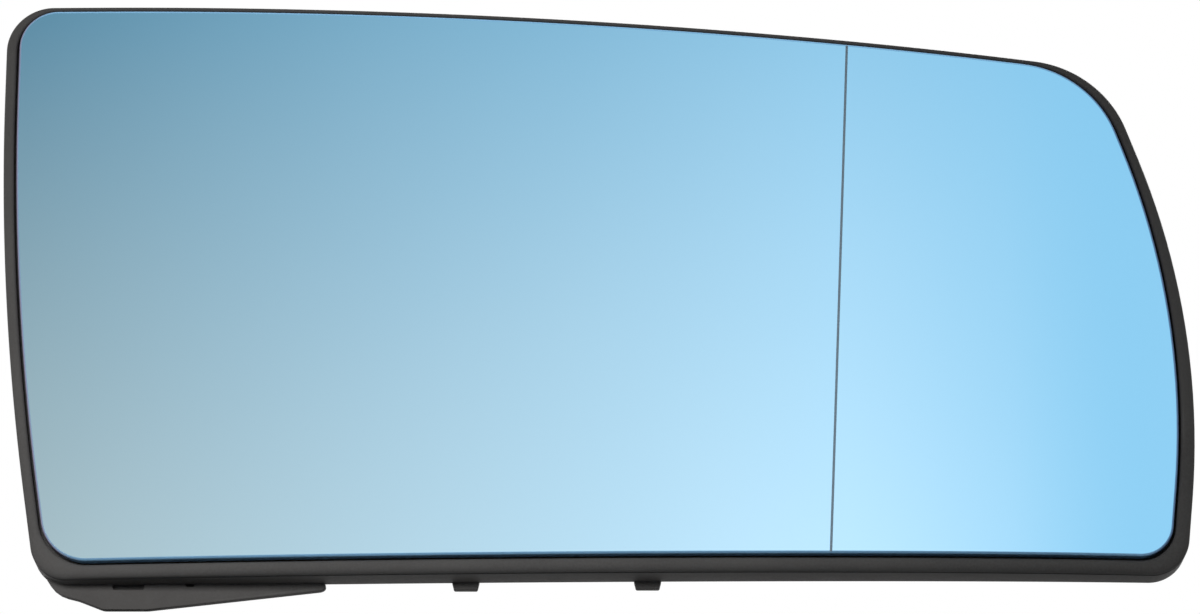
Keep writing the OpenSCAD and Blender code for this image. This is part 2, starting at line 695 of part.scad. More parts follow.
module backing_plate() {
    color([0.13, 0.13, 0.14]) difference() {
        union() {
            tray();
            flange();
            tab_at(-tab_x);
            tab_at(tab_x);
            ribs();
            loop_rib();
            hub();
            tie_ring();
            for (k = [0 : claw_count - 1]) claw_at(claw_angle(k));
            keepers();
            terminal_seats();
        }
        for (k = [0 : claw_count - 1]) claw_window_at(claw_angle(k));
        hub_bore();
        bar_channel();
        rivet_holes();
    }
}

module wire_run(from, to) {
    way = to - from;
    translate(from) rotate([0, way[2] < 0 ? 180 : way[2] > 0 ? 0 : way[0] > 0 ? 90 : -90, 0])
        cylinder(d = wire_d, h = norm(way), $fn = 32);
}

// Quarter bend of the wire in the plane of the plate, round a centre, from direction a
module wire_bend(c, r, a) {
    translate(c) rotate([90, 0, 0])
        rotate_extrude(angle = 90, start = a) translate([r, 0]) circle(d = wire_d, $fn = 32);
}

module spring_half() {
    y = -wire_setback;
    wire_run([0, y, -bar_z], [leg_x - bar_bend_r, y, -bar_z]);
    wire_bend([leg_x - bar_bend_r, y, bar_bend_r - bar_z], bar_bend_r, 270);
    wire_run([leg_x, y, bar_bend_r - bar_z], [leg_x, y, leg_top_z - end_bend_r]);
    wire_bend([leg_x + end_bend_r, y, leg_top_z - end_bend_r], end_bend_r, 90);
    wire_run([leg_x + end_bend_r, y, leg_top_z], [leg_x + end_bend_r + end_len, y, leg_top_z]);
}

module retaining_spring() {
    color([0.7, 0.71, 0.73]) {
        spring_half();
        mirror([1, 0, 0]) spring_half();
    }
}

// Blade and foot bent from one strip, seen along the bend: the blade stands at x from 0 to blade_t
module terminal(k) {
    bend_r = 1.2;
    seat = seat_rear + rivet_gap;
    color([0.83, 0.69, 0.4]) translate([-blade_x, seat, terminal_z(k)]) difference() {
        union() {
            translate([-foot_len, 0, -blade_w / 2]) cube([foot_len - bend_r, blade_t, blade_w]);
            translate([-bend_r, bend_r, -blade_w / 2]) linear_extrude(blade_w) difference() {
                intersection() {
                    circle(r = bend_r);
                    translate([0, -bend_r]) square(bend_r);
                }
                circle(r = bend_r - blade_t);
            }
            translate([-blade_t, 0, 0]) rotate([0, 90, 0]) linear_extrude(blade_t) polygon([
                [-blade_w / 2, bend_r], [blade_w / 2, bend_r], [blade_w / 2, blade_h - blade_chamfer],
                [blade_w / 2 - blade_chamfer, blade_h], [blade_chamfer - blade_w / 2, blade_h],
                [-blade_w / 2, blade_h - blade_chamfer]]);
        }
        translate([-blade_t - over, blade_h - latch_drop, 0]) rotate([0, 90, 0])
            cylinder(r = latch_r, h = blade_t + 2 * over);
        translate([rivet_x + blade_x, -over, 0]) along_y()
            cylinder(r = rivet_r + rivet_gap, h = blade_t + 2 * over);
    }
}

module terminal_upper() {
    terminal(1);
}

module terminal_lower() {
    terminal(0);
}

// Rivets through the feet of the terminals and the floor, with flat front heads in pockets
module terminal_rivets() {
    front = rivet_pocket - rivet_head_h;
    rear = seat_rear + 2 * rivet_gap + blade_t;
    color([0.78, 0.78, 0.76]) for (k = [0, 1]) translate([rivet_x, 0, terminal_z(k)]) along_y() {
        translate([0, 0, front + rivet_gap]) cylinder(r = rivet_head_r, h = rivet_head_h - 2 * rivet_gap);
        translate([0, 0, front + rivet_gap]) cylinder(r = rivet_r, h = rear - front);
        translate([0, 0, rear])
            cylinder(r1 = rivet_head_r, r2 = rivet_head_r * rivet_crown, h = rivet_head_h);
    }
}

mirror_glass();
heater_foil();
backing_plate();
retaining_spring();
terminal_upper();
terminal_lower();
terminal_rivets();
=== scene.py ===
"""Heated door mirror glass for a right-hand door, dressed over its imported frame.

The blue convex glass, its ground edge, the etched line between its two zones, the black moulded
holder with everything on its back, and the wire spring are made here with smooth surfaces. The
foil, the terminals and their rivets keep their own solids. Lengths are in millimetres until a
mesh is made, and the names are the ones that the part's source uses.
"""
import math

import bmesh
import bpy
from mathutils import Matrix, Vector


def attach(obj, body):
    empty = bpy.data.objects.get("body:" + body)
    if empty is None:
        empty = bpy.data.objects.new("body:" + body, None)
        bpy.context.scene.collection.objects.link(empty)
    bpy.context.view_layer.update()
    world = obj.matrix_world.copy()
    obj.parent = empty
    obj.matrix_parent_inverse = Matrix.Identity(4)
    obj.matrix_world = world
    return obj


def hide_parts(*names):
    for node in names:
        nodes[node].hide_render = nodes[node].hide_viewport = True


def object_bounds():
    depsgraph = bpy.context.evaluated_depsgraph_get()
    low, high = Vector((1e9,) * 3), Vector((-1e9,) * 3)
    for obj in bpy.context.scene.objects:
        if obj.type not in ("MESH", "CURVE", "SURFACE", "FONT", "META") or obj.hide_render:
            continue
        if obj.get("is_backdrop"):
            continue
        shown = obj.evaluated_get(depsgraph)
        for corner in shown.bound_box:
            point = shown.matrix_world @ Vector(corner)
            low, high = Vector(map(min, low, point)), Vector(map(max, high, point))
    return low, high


MM = 0.001

# Glass outline: corner across, corner height, radius of the glass there, radius of the rim there.
# A bow has one radius for both.
TOP_IN = (-88.2, 51.2, 6.1, 7.3)
IN_BOW = (-87.7, 2.8, 450.0, 450.0)
FOOT_IN = (-80.5, -42.1, 7.6, 6.1)
FOOT_OUT = (97.1, -41.0, 5.6, 6.4)
OUT_BOW = (101.6, -0.4, 127.0, 127.0)
TOP_OUT = (87.0, 40.3, 17.5, 17.2)
TOP_BOW = (0.0, 49.5, 1800.0, 1800.0)
CORNERS = [TOP_IN, IN_BOW, FOOT_IN, FOOT_OUT, OUT_BOW, TOP_OUT, TOP_BOW]
SIDES = len(CORNERS)

# Reach of the rim beyond the glass along the edge that leaves each corner
LIP_TOP = 1.0
LIP_IN = 2.2
LIP_BOTTOM = 2.6
LIP_OUT_FOOT = 2.8
LIP_OUT = 2.0
LIPS = [LIP_IN, LIP_IN, LIP_BOTTOM, LIP_OUT_FOOT, LIP_OUT, LIP_TOP, LIP_TOP]

# Gap round the glass along the same edges: it sits up against the rim's top
GAP_TOP = 0.15
GAP_IN = 0.4
GAP_BOTTOM = 0.5
GAP_OUT = 0.4
GAPS = [GAP_IN, GAP_IN, GAP_BOTTOM, GAP_OUT, GAP_OUT, GAP_TOP, GAP_TOP]

# Glass
GLASS_T = 2.0
MAIN_R = 1300.0
OUTER_R = 800.0
END_R = 450.0
CROWN_X = 6.0
CROWN_Z = 4.4
GLASS_FRONT = 13.4
ARRIS = 0.4
LINE_FOOT_X = 43.1
LINE_TOP_X = 47.4
LINE_W = 0.4
OUTER_ZONE_W = 27.0

# Holder: rim, floor, ribs
RIM_SETBACK = 0.4
BEAD_DEPTH = 1.0
BEAD_LAND = 0.45
BEAD_INNER = 0.34
BEAD_INNER_DEPTH = 0.6
PARTING_INSET = 0.3
WALL_T = 1.3
RIM_DEPTH = 7.9
REAR_FOLLOW = 0.7
REAR_ROUND = 0.3
FLOOR_FRONT_D = 2.46
FLOOR_T = 1.8
FLOOR_REAR_D = FLOOR_FRONT_D + FLOOR_T
FLOOR_REAR = FLOOR_REAR_D - GLASS_FRONT
RIM_REAR = RIM_SETBACK + RIM_DEPTH - GLASS_FRONT
RIB_H = 3.0
RIB_T = 1.4
RIB_ANGLES = [0, 35, 75]
RIB_FILLET = 0.6
LOOP_INSET = 11.0
LOOP_H = 1.2
LOOP_R = 8.0
LOOP_FILLET = 0.5
BOND = 0.3

# Hub and snap claws
HUB_BORE_R = 11.0
HUB_WALL = 2.2
HUB_BORE_DEPTH = 8.5
HUB_CHAMFER = 0.5
CLAW_COUNT = 8
CLAW_R = 25.0
CLAW_T = 1.5
CLAW_DEG = 21.0
HOOK_REACH = 0.8
HOOK_H = 2.0
HOOK_LAND = 0.4
CLAW_WINDOW_GAP = 0.4
CLAW_SETBACK = 0.6
TIE_W = 1.2
TIE_H = 1.4

# Retaining spring and what holds it
WIRE_D = 2.0
LEG_GAP = 0.45
LEG_X = CLAW_R * math.cos(math.radians(180 / CLAW_COUNT + CLAW_DEG / 2)) - WIRE_D / 2 - LEG_GAP
LEG_TOP_Z = 31.0
BAR_Z = 39.2
BAR_BEND_R = 5.0
END_BEND_R = 3.0
END_LEN = 4.0
WIRE_SETBACK = 6.0
WIRE_GAP = 0.2
KEEPER_Z = 24.0
KEEPER_LEN = 5.0
KEEPER_T = 1.4

# Seats of the heater's terminals
BLADE_W = 6.3
FOOT_LEN = 10.0
BLADE_X = 40.0
BLADE_Z = 8.0
BLADE_PITCH = 12.0
SEAT_EDGE = 0.8
SEAT_H = 0.3
RIVET_SHARE = 0.62
RIVET_R = 1.4
RIVET_GAP = 0.1

# Flange and tabs under the rim
FLANGE_FRONT = 5.2
FLANGE_T = 1.6
FLANGE_DROP = 4.1
FLANGE_ROOT_OUT = 0.9
FLANGE_ROOT_DROP = 0.7
FLANGE_HIP = -79.1
FLANGE_HIP_DROP = 1.6
FLANGE_DIP = -75.6
FLANGE_DIP_DROP = 2.5
FLANGE_FOOT_IN = -71.6
FLANGE_FOOT_OUT = -64.6
FLANGE_END = -37.2
FLANGE_END_DROP = 1.2
RECESSES = [(-67.8, 5.0, 0.9), (-58.0, 1.4, 0.5)]
RECESS_DEPTH = 1.0
TAB_X = 14.4
TAB_W = 4.3
TAB_TAPER = 0.3
TAB_DROP = 1.2

# Marks of the ejector pins on the floor's rear: places, and radius and height along each mark
PIN_PLACES = [(-66, 30), (-66, -28), (-30, 36), (-34, -34), (38, 34), (36, -32), (66, 24), (72, -26),
              (52, 2), (-68, 2)]
PIN_MARK = [(0.02, -0.6), (2.4, -0.6), (2.4, 0.02), (2.2, 0.12), (1.9, 0.12), (1.8, 0.05), (0.02, 0.05)]

# Studio, in metres and watts
CAMERA_PLACE = (0.00686, -0.6962, -0.2230)
CAMERA_BELOW_DEG = 18
CAMERA_LENS = 135
STUDIO_FILL = 0.12
KEY_PLACE = (-0.12, -0.40, 0.02)
KEY_AIM = (-0.06, 0.0, -0.07)
KEY_SIZE = (0.2, 0.1)
KEY_POWER = 0.28
KEY_SPREAD_DEG = 62.0
REAR_PLACE = (0.4, 1.3, 0.9)
REAR_AIM = (0.0, 0.0, 0.0)
REAR_SIZE = (1.0, 0.8)
REAR_POWER = 20.0
FLOOR_R = 9.0
FLOOR_DROP = 0.0002
FLOOR_BOUNCE = 0.60
FLOOR_PALER_FROM = 0.10
FLOOR_WHITE_FROM = 0.40

# Fineness of the smooth surfaces
STEP_LEN = 3.0
STEP_DEG = 3.0
LEAST_R = 0.5
WIRE_SIDES = 20


# Outline of the glass and of the rim round it


def unit(v):
    return v / v.length


def corner_at(i):
    c = CORNERS[i % SIDES]
    return Vector((c[0], c[1]))


def edge_dir(i):
    return unit(corner_at(i + 1) - corner_at(i))


def outward(i):
    d = edge_dir(i)
    return Vector((d[1], -d[0]))


def turn(i):
    return math.acos(max(-1.0, min(1.0, edge_dir(i - 1).dot(edge_dir(i)))))


def moved(i, reach):
    """Corner i of the outline when each edge moves outward by its reach."""
    start = corner_at(i) + outward(i - 1) * reach[i - 1]
    along = edge_dir(i - 1)
    n = outward(i)
    target = corner_at(i) + n * reach[i]
    return start + along * ((target - start).dot(n) / along.dot(n))


def tangent(i, r):
    return r * math.tan(turn(i) / 2)


def fitted(i, pts, radii):
    """The wide bows give way to the corners beside them."""
    if CORNERS[i][2] != CORNERS[i][3]:
        return radii[i]
    before = (i - 1) % SIDES
    after = (i + 1) % SIDES
    room = min((pts[i] - pts[before]).length - tangent(before, radii[before]),
               (pts[after] - pts[i]).length - tangent(after, radii[after]))
    return min(radii[i], (room - LEAST_R) / math.tan(turn(i) / 2))


def corner_points(i, p, r):
    half = turn(i) / 2
    along = edge_dir(i - 1)
    n = outward(i - 1)
    centre = p - along * r * math.tan(half) - n * r
    count = max(2, math.ceil(math.degrees(2 * half) / STEP_DEG),
                math.ceil(2 * half * CORNERS[i][2] / STEP_LEN))
    return [centre + (n * math.cos(2 * half * k / count) + along * math.sin(2 * half * k / count)) * r
            for k in range(count + 1)]


def straight_count(i):
    after = (i + 1) % SIDES
    length = ((corner_at(i + 1) - corner_at(i)).length
              - tangent(i, CORNERS[i][2]) - tangent(after, CORNERS[after][2]))
    return max(1, math.ceil(length / STEP_LEN))


def outline(share, inset=0.0, gaps=GAPS, least=LEAST_R):
    """Outline between the edge of the glass plus its gap (share 0) and the rim's outside (share 1),
    then inset."""
    reach = [gap + share * (lip - gap) - inset for lip, gap in zip(LIPS, gaps)]
    radii = [max(least, c[2] + gap + share * (c[3] - c[2] - gap) - inset) for c, gap in zip(CORNERS, gaps)]
    pts = [moved(i, reach) for i in range(SIDES)]
    arcs = [corner_points(i, pts[i], fitted(i, pts, radii)) for i in range(SIDES)]
    ring = []
    for i in range(SIDES):
        ring += arcs[i]
        a = arcs[i][-1]
        b = arcs[(i + 1) % SIDES][0]
        count = straight_count(i)
        ring += [a + (b - a) * k / count for k in range(1, count)]
    return ring


def glass_outline(inset=0.0):
    return outline(0.0, inset, [0.0] * SIDES)


# Curve of the glass: three arcs along its length, revolved about the horizontal axis


LINE_X = (LINE_FOOT_X + LINE_TOP_X) / 2
LINE_ANGLE = math.asin((LINE_X - CROWN_X) / MAIN_R)
OUTER_C = (MAIN_R - (MAIN_R - OUTER_R) * math.cos(LINE_ANGLE),
           CROWN_X + (MAIN_R - OUTER_R) * math.sin(LINE_ANGLE))
END_X = LINE_X + OUTER_ZONE_W
END_ANGLE = math.asin((END_X - OUTER_C[1]) / OUTER_R)
END_C = (OUTER_C[0] - (OUTER_R - END_R) * math.cos(END_ANGLE),
         OUTER_C[1] + (OUTER_R - END_R) * math.sin(END_ANGLE))


def section_depth(x):
    if x < LINE_X:
        c, r = (MAIN_R, CROWN_X), MAIN_R
    elif x < END_X:
        c, r = OUTER_C, OUTER_R
    else:
        c, r = END_C, END_R
    return c[0] - math.sqrt(r * r - (x - c[1]) ** 2)


def curve_depth(x, z):
    return MAIN_R - math.sqrt((MAIN_R - section_depth(x)) ** 2 - (z - CROWN_Z) ** 2)


def glass_normal(x, z):
    """Direction that the glass faces at a place on its front."""
    e = 0.05
    slope_x = (curve_depth(x + e, z) - curve_depth(x - e, z)) / (2 * e)
    slope_z = (curve_depth(x, z + e) - curve_depth(x, z - e)) / (2 * e)
    return unit(Vector((slope_x, -1.0, slope_z)))


def at_depth(pts, d):
    return [Vector((p[0], curve_depth(p[0], p[1]) + d - GLASS_FRONT, p[1])) for p in pts]


def at_rear(pts, d):
    return [Vector((p[0], REAR_FOLLOW * curve_depth(p[0], p[1]) + RIM_REAR - d, p[1])) for p in pts]


SPINE_IN = Vector((IN_BOW[0] * 0.73, CROWN_Z))
SPINE_OUT = Vector((OUT_BOW[0] * 0.55, CROWN_Z / 2))


def drawn_in(pts, s):
    """The outline drawn in towards the spine in its middle."""
    ring = []
    for p in pts:
        share = (p[0] - SPINE_IN[0]) / (SPINE_OUT[0] - SPINE_IN[0])
        q = SPINE_IN + (SPINE_OUT - SPINE_IN) * min(1.0, max(0.0, share))
        ring.append(q + (p - q) * s)
    return ring


def field(pts, d, rings):
    return [at_depth(drawn_in(pts, k / (rings + 0.4)), d) for k in range(rings, 0, -1)]


# Meshes


def bands(first, rings, count):
    """Quads between closed rings of points."""
    faces = []
    for r in range(first, first + rings - 1):
        for k in range(count):
            m = (k + 1) % count
            faces.append([r * count + k, r * count + m, (r + 1) * count + m, (r + 1) * count + k])
    return faces


def lid(ring, start):
    """Faces that close a narrow strip from its lower to its upper points."""
    count = len(ring)
    xs = [p[0] for p in ring]
    low_end = xs.index(min(xs))
    high_end = xs.index(max(xs))
    lower = [(low_end + k) % count for k in range((high_end - low_end) % count + 1)]
    upper = [(low_end - k) % count for k in range(1, (low_end - high_end) % count)]
    faces = []
    i = 0
    j = 0
    while i < len(lower) - 1 or j < len(upper) - 1:
        if j == len(upper) - 1 or (i < len(lower) - 1 and xs[lower[i + 1]] <= xs[upper[j + 1]]):
            faces.append([start + lower[i], start + lower[i + 1], start + upper[j]])
            i += 1
        else:
            faces.append([start + lower[i], start + upper[j + 1], start + upper[j]])
            j += 1
    return faces


def ringed(rings):
    """Closed shape through rings of points, from a strip on the front to a strip on the rear."""
    count = len(rings[0])
    points = [p for ring in rings for p in ring]
    faces = lid(rings[0], 0) + bands(0, len(rings), count) + lid(rings[-1], (len(rings) - 1) * count)
    return points, faces


def grid_shape(sections, closed=False):
    """Closed shape through sections with the same points, each a closed loop, with ends capped."""
    count = len(sections[0])
    points = [p for s in sections for p in s]
    faces = bands(0, len(sections), count)
    if closed:
        last = (len(sections) - 1) * count
        faces += [[last + k, last + (k + 1) % count, (k + 1) % count, k] for k in range(count)]
    else:
        faces.append(list(range(count - 1, -1, -1)))
        faces.append([(len(sections) - 1) * count + k for k in range(count)])
    return points, faces


def into(bm, shape, bevel=0.0, segments=2, sharp_deg=30.0):
    """Adds a closed shape to a mesh in the making, with its sharp edges rounded."""
    part = bmesh.new()
    verts = [part.verts.new(p) for p in shape[0]]
    for f in shape[1]:
        part.faces.new([verts[k] for k in f])
    bmesh.ops.remove_doubles(part, verts=part.verts[:], dist=0.0005)
    bmesh.ops.recalc_face_normals(part, faces=part.faces[:])
    if bevel > 0:
        limit = math.radians(sharp_deg)
        edges = [e for e in part.edges if len(e.link_faces) == 2 and e.calc_face_angle(0.0) > limit]
        bmesh.ops.bevel(part, geom=edges, offset=bevel, segments=segments, profile=0.5, affect="EDGES",
                        clamp_overlap=True)
    scratch = bpy.data.meshes.new("scratch")
    part.to_mesh(scratch)
    part.free()
    bm.from_mesh(scratch)
    bpy.data.meshes.remove(scratch)


def made(name, bm, materials, smooth_deg=32.0):
    """Turns a mesh in the making into an object in metres."""
    bmesh.ops.scale(bm, vec=(MM, MM, MM), verts=bm.verts[:])
    mesh = bpy.data.meshes.new(name)
    bm.to_mesh(mesh)
    bm.free()
    for mat in materials:
        mesh.materials.append(mat)
    mesh.polygons.foreach_set("use_smooth", [True] * len(mesh.polygons))
    mesh.set_sharp_from_angle(angle=math.radians(smooth_deg))
    obj = bpy.data.objects.new(name, mesh)
    bpy.context.scene.collection.objects.link(obj)
    return obj


def cut(obj, cutters):
    """Takes the cutters' shapes out of an object and keeps the result as its mesh."""
    for cutter in cutters:
        mod = obj.modifiers.new("cut", "BOOLEAN")
        mod.operation = "DIFFERENCE"
        mod.solver = "EXACT"
        mod.object = cutter
    graph = bpy.context.evaluated_depsgraph_get()
    result = bpy.data.meshes.new_from_object(obj.evaluated_get(graph))
    obj.modifiers.clear()
    obj.data = result
    for cutter in cutters:
        bpy.data.objects.remove(cutter)


def block(x0, x1, y0, y1, z0, z1):
    corners = [Vector((x, y, z)) for x in (x0, x1) for y in (y0, y1) for z in (z0, z1)]
    faces = [[0, 1, 3, 2], [4, 6, 7, 5], [0, 4, 5, 1], [2, 3, 7, 6], [0, 2, 6, 4], [1, 5, 7, 3]]
    return corners, faces


def turned(profile, start=0.0, span=360.0, steps=72):
    """Profile of (radius, y) turned round the hub's axis."""
    full = span >= 360
    angles = [math.radians(start + span * k / steps) for k in range(steps if full else steps + 1)]
    sections = [[Vector((r * math.cos(a), y, r * math.sin(a))) for r, y in profile] for a in angles]
    return grid_shape(sections, closed=full)


def plate_shape(pts, y0, y1):
    """Flat outline in X and Z, given thickness from y0 to y1."""
    return grid_shape([[Vector((x, y0, z)) for x, z in pts], [Vector((x, y1, z)) for x, z in pts]])


def softened(pts, radii, step_deg=15.0):
    """Polygon with its corners rounded."""
    out = []
    count = len(pts)
    for i in range(count):
        p = Vector(pts[i])
        u = unit(p - Vector(pts[i - 1]))
        v = unit(Vector(pts[(i + 1) % count]) - p)
        cross = u[0] * v[1] - u[1] * v[0]
        angle = math.atan2(abs(cross), u.dot(v))
        if radii[i] <= 0 or angle < 0.02:
            out.append((p[0], p[1]))
            continue
        side = 1.0 if cross > 0 else -1.0
        n = Vector((-u[1], u[0])) * side
        start = p - u * radii[i] * math.tan(angle / 2)
        centre = start + n * radii[i]
        steps = max(1, math.ceil(math.degrees(angle) / step_deg))
        for k in range(steps + 1):
            a = angle * k / steps
            q = centre - n * radii[i] * math.cos(a) + u * radii[i] * math.sin(a)
            out.append((q[0], q[1]))
    return out


# Pieces


def make_glass(coat, edge):
    """Convex glass with its rounded arris. Its mirrored front has exact normals, so that what it
    reflects stays clean."""
    inside = glass_outline(ARRIS)
    front_rings = 26
    rings = field(inside, 0.0, front_rings)[::-1] + [at_depth(inside, 0.0)]
    front_count = len(rings)
    for deg in (22.5, 45, 67.5, 90):
        a = math.radians(deg)
        rings.append(at_depth(glass_outline(ARRIS * (1 - math.sin(a))), ARRIS * (1 - math.cos(a))))
    foot = GLASS_T - ARRIS / 2
    rings += [at_depth(glass_outline(), foot), at_depth(glass_outline(ARRIS / 2), GLASS_T)]
    rings += field(glass_outline(ARRIS / 2), GLASS_T, 6)
    points, faces = ringed(rings)
    count = len(rings[0])
    bm = bmesh.new()
    verts = [bm.verts.new(p) for p in points]
    lid_count = len(lid(rings[0], 0))
    last_front = lid_count + (front_count - 1) * count
    for k, f in enumerate(faces):
        made_face = bm.faces.new([verts[m] for m in f])
        made_face.material_index = 0 if k < last_front else 1
    bmesh.ops.recalc_face_normals(bm, faces=bm.faces[:])
    obj = made("glass", bm, [coat, edge], smooth_deg=40.0)
    mesh = obj.data
    normals = []
    for poly in mesh.polygons:
        for k in poly.loop_indices:
            if poly.material_index == 0:
                co = mesh.vertices[mesh.loops[k].vertex_index].co
                normals.append(glass_normal(co[0] / MM, co[2] / MM))
            else:
                normals.append(Vector((0, 0, 0)))
    mesh.normals_split_custom_set(normals)
    return obj


def make_division_line(etched):
    """Fine etched line from the foot to the top of the glass, between the two zones."""
    rise = 0.012
    sink = 0.05
    steps = 60
    low = FOOT_IN[1]
    high = TOP_IN[1]

    def line_x(z):
        return LINE_FOOT_X + (LINE_TOP_X - LINE_FOOT_X) * (z - low) / (high - low)

    edge = glass_outline(ARRIS * 0.6)

    def crossing(upper):
        best = None
        for k, a in enumerate(edge):
            b = edge[(k + 1) % len(edge)]
            fa = a[0] - line_x(a[1])
            fb = b[0] - line_x(b[1])
            if fa * fb < 0:
                z = a[1] + (b[1] - a[1]) * fa / (fa - fb)
                if best is None or (z > best) == upper:
                    best = z
        return best

    z0 = crossing(False)
    z1 = crossing(True)
    sections = []
    for k in range(steps + 1):
        z = z0 + (z1 - z0) * k / steps
        x = line_x(z)
        y = curve_depth(x, z) - GLASS_FRONT
        sections.append([Vector((x - LINE_W / 2, y + sink, z)), Vector((x - LINE_W / 2, y - rise / 2, z)),
                         Vector((x - LINE_W / 4, y - rise, z)), Vector((x + LINE_W / 4, y - rise, z)),
                         Vector((x + LINE_W / 2, y - rise / 2, z)), Vector((x + LINE_W / 2, y + sink, z))])
    bm = bmesh.new()
    into(bm, grid_shape(sections))
    return made("division_line", bm, [etched])


def tray_shape():
    """Floor, rounded rim and wall in one."""
    rings = field(outline(0.0), FLOOR_FRONT_D, 4)[::-1]
    rings.append(at_depth(outline(0.0), FLOOR_FRONT_D))
    for k in range(8):
        a = math.radians(90 * k / 7)
        rings.append(at_depth(outline(BEAD_INNER * (1 - math.cos(a))),
                              RIM_SETBACK + BEAD_INNER_DEPTH * (1 - math.sin(a))))
    for k in range(13):
        a = math.radians(7.5 * k)
        share = BEAD_LAND + (1 - BEAD_LAND) * math.sin(a)
        rings.append(at_depth(outline(share), RIM_SETBACK + BEAD_DEPTH * (1 - math.cos(a))))
    for inset, depth in ((PARTING_INSET, 0.2), (PARTING_INSET, 0.45), (0.0, 0.75)):
        rings.append(at_depth(outline(1.0, inset), RIM_SETBACK + BEAD_DEPTH + depth))
    for k in range(4):
        a = math.radians(30 * k)
        rings.append(at_rear(outline(1.0, REAR_ROUND * (1 - math.cos(a))), REAR_ROUND * (1 - math.sin(a))))
    inner = outline(1.0, WALL_T)
    rings.append(at_rear(outline(1.0, WALL_T - REAR_ROUND / 2), 0.0))
    rings.append(at_rear(inner, REAR_ROUND))
    root = 0.5
    for deg in (0, 30, 60, 90):
        a = math.radians(deg)
        rings.append(at_depth(outline(1.0, WALL_T + root * (1 - math.cos(a))),
                              FLOOR_REAR_D + root * (1 - math.sin(a))))
    rings += field(outline(1.0, WALL_T + root), FLOOR_REAR_D, 8)
    return ringed(rings)


def reach_to(pts, way):
    """How far it is from the hub's axis to the outline, in the direction given."""
    best = None
    for k, a in enumerate(pts):
        e = pts[(k + 1) % len(pts)] - a
        n = Vector((e[1], -e[0]))
        if n.dot(way) > 0.001:
            r = n.dot(a) / n.dot(way)
            best = r if best is None else min(best, r)
    return best


def rib_shape(deg):
    """Rib from the claws to the wall, filleted into the floor and rounded on top, with a saddle
    where the wire's bar crosses it."""
    way = Vector((math.cos(math.radians(deg)), math.sin(math.radians(deg))))
    side = Vector((-way[1], way[0]))
    start = CLAW_R + CLAW_T
    end = reach_to(outline(1.0, WALL_T - BOND), way)
    steps = max(8, math.ceil((end - start) / 4))
    stations = [start + (end - start) * k / steps for k in range(steps + 1)]
    slot = WIRE_D / 2 + WIRE_GAP
    saddle = -WIRE_SETBACK - slot
    crossings = []
    if way[1] < -0.5:
        for edge_z in (-BAR_Z + slot, -BAR_Z - slot):
            t = edge_z / way[1]
            if start < t < end and abs(way[0] * t) < LEG_X:
                crossings += [t - 0.01, t + 0.01]
    stations = sorted(stations + crossings)
    fillet = RIB_FILLET
    half = RIB_T / 2
    sections = []
    for t in stations:
        here = way * t
        floor = curve_depth(here[0], here[1]) + FLOOR_REAR
        top = floor + RIB_H
        if crossings and abs(here[1] + BAR_Z) < slot:
            top = min(top, saddle)
        profile = [(-half - fillet, floor - BOND), (-half - fillet, floor),
                   (-half - fillet * 0.3, floor + fillet * 0.3), (-half, floor + fillet),
                   (-half + 0.06, top - 0.3), (-half + 0.15, top - 0.08), (-half + 0.35, top)]
        profile += [(-a, b) for a, b in reversed(profile)]
        sections.append([Vector((here[0] + side[0] * a, b, here[1] + side[1] * a)) for a, b in profile])
    return grid_shape(sections)


def loop_rib_shape():
    """Low rib that runs round the floor, parallel to the wall."""
    fillet = LOOP_FILLET

    def level(inset, height):
        return at_depth(outline(1.0, LOOP_INSET + inset, GAPS, LOOP_R - inset), FLOOR_REAR_D + height)

    loops = [level(-fillet, -BOND), level(-fillet, 0.0), level(-fillet * 0.3, fillet * 0.3),
             level(0.0, fillet), level(0.06, LOOP_H - 0.15), level(0.25, LOOP_H),
             level(RIB_T - 0.25, LOOP_H), level(RIB_T - 0.06, LOOP_H - 0.15), level(RIB_T, fillet),
             level(RIB_T + fillet * 0.3, fillet * 0.3), level(RIB_T + fillet, 0.0),
             level(RIB_T + fillet, -BOND)]
    return grid_shape(loops, closed=True)


def claw_shape(deg):
    """Snap claw with a hook inside its tip, in the direction given."""
    tip = -CLAW_SETBACK
    hook = CLAW_R - HOOK_REACH
    profile = [(CLAW_R, FLOOR_REAR - BOND), (CLAW_R + CLAW_T, FLOOR_REAR - BOND), (CLAW_R + CLAW_T, tip),
               (CLAW_R, tip), (hook, tip - HOOK_H / 2), (hook, tip - HOOK_H / 2 - HOOK_LAND),
               (CLAW_R, tip - HOOK_H)]
    return turned(profile, deg - CLAW_DEG / 2, CLAW_DEG, 8)


def window_shape(deg):
    """Cutter for the window in the floor under a claw's hook."""
    slack = 1.0
    inner = CLAW_R - HOOK_REACH - CLAW_WINDOW_GAP
    rear = FLOOR_REAR + 1.0
    profile = [(inner, -GLASS_FRONT), (CLAW_R, -GLASS_FRONT), (CLAW_R, rear), (inner, rear)]
    return turned(profile, deg - CLAW_DEG / 2 - slack, CLAW_DEG + 2 * slack, 8)


def keeper_shapes():
    """Post, arm over the wire, and gusset behind the post."""
    post_x = WIRE_D / 2 + WIRE_GAP
    rear = -WIRE_SETBACK + WIRE_D / 2 + WIRE_GAP
    half = KEEPER_LEN / 2
    post = block(post_x, post_x + KEEPER_T, FLOOR_REAR - BOND, rear + KEEPER_T, -half, half)
    arm = block(-WIRE_D / 4, post_x + BOND, rear, rear + KEEPER_T, -half, half)
    gusset_pts = [(post_x + KEEPER_T - BOND, FLOOR_REAR), (post_x + KEEPER_T + 1.4, FLOOR_REAR),
                  (post_x + KEEPER_T, rear - 0.4), (post_x + KEEPER_T - BOND, rear - 0.4)]
    gusset = grid_shape([[Vector((x, y, z)) for x, y in gusset_pts] for z in (-0.5, 0.5)])
    return [post, arm, gusset]


def shifted(shape, matrix):
    return [matrix @ p for p in shape[0]], shape[1]


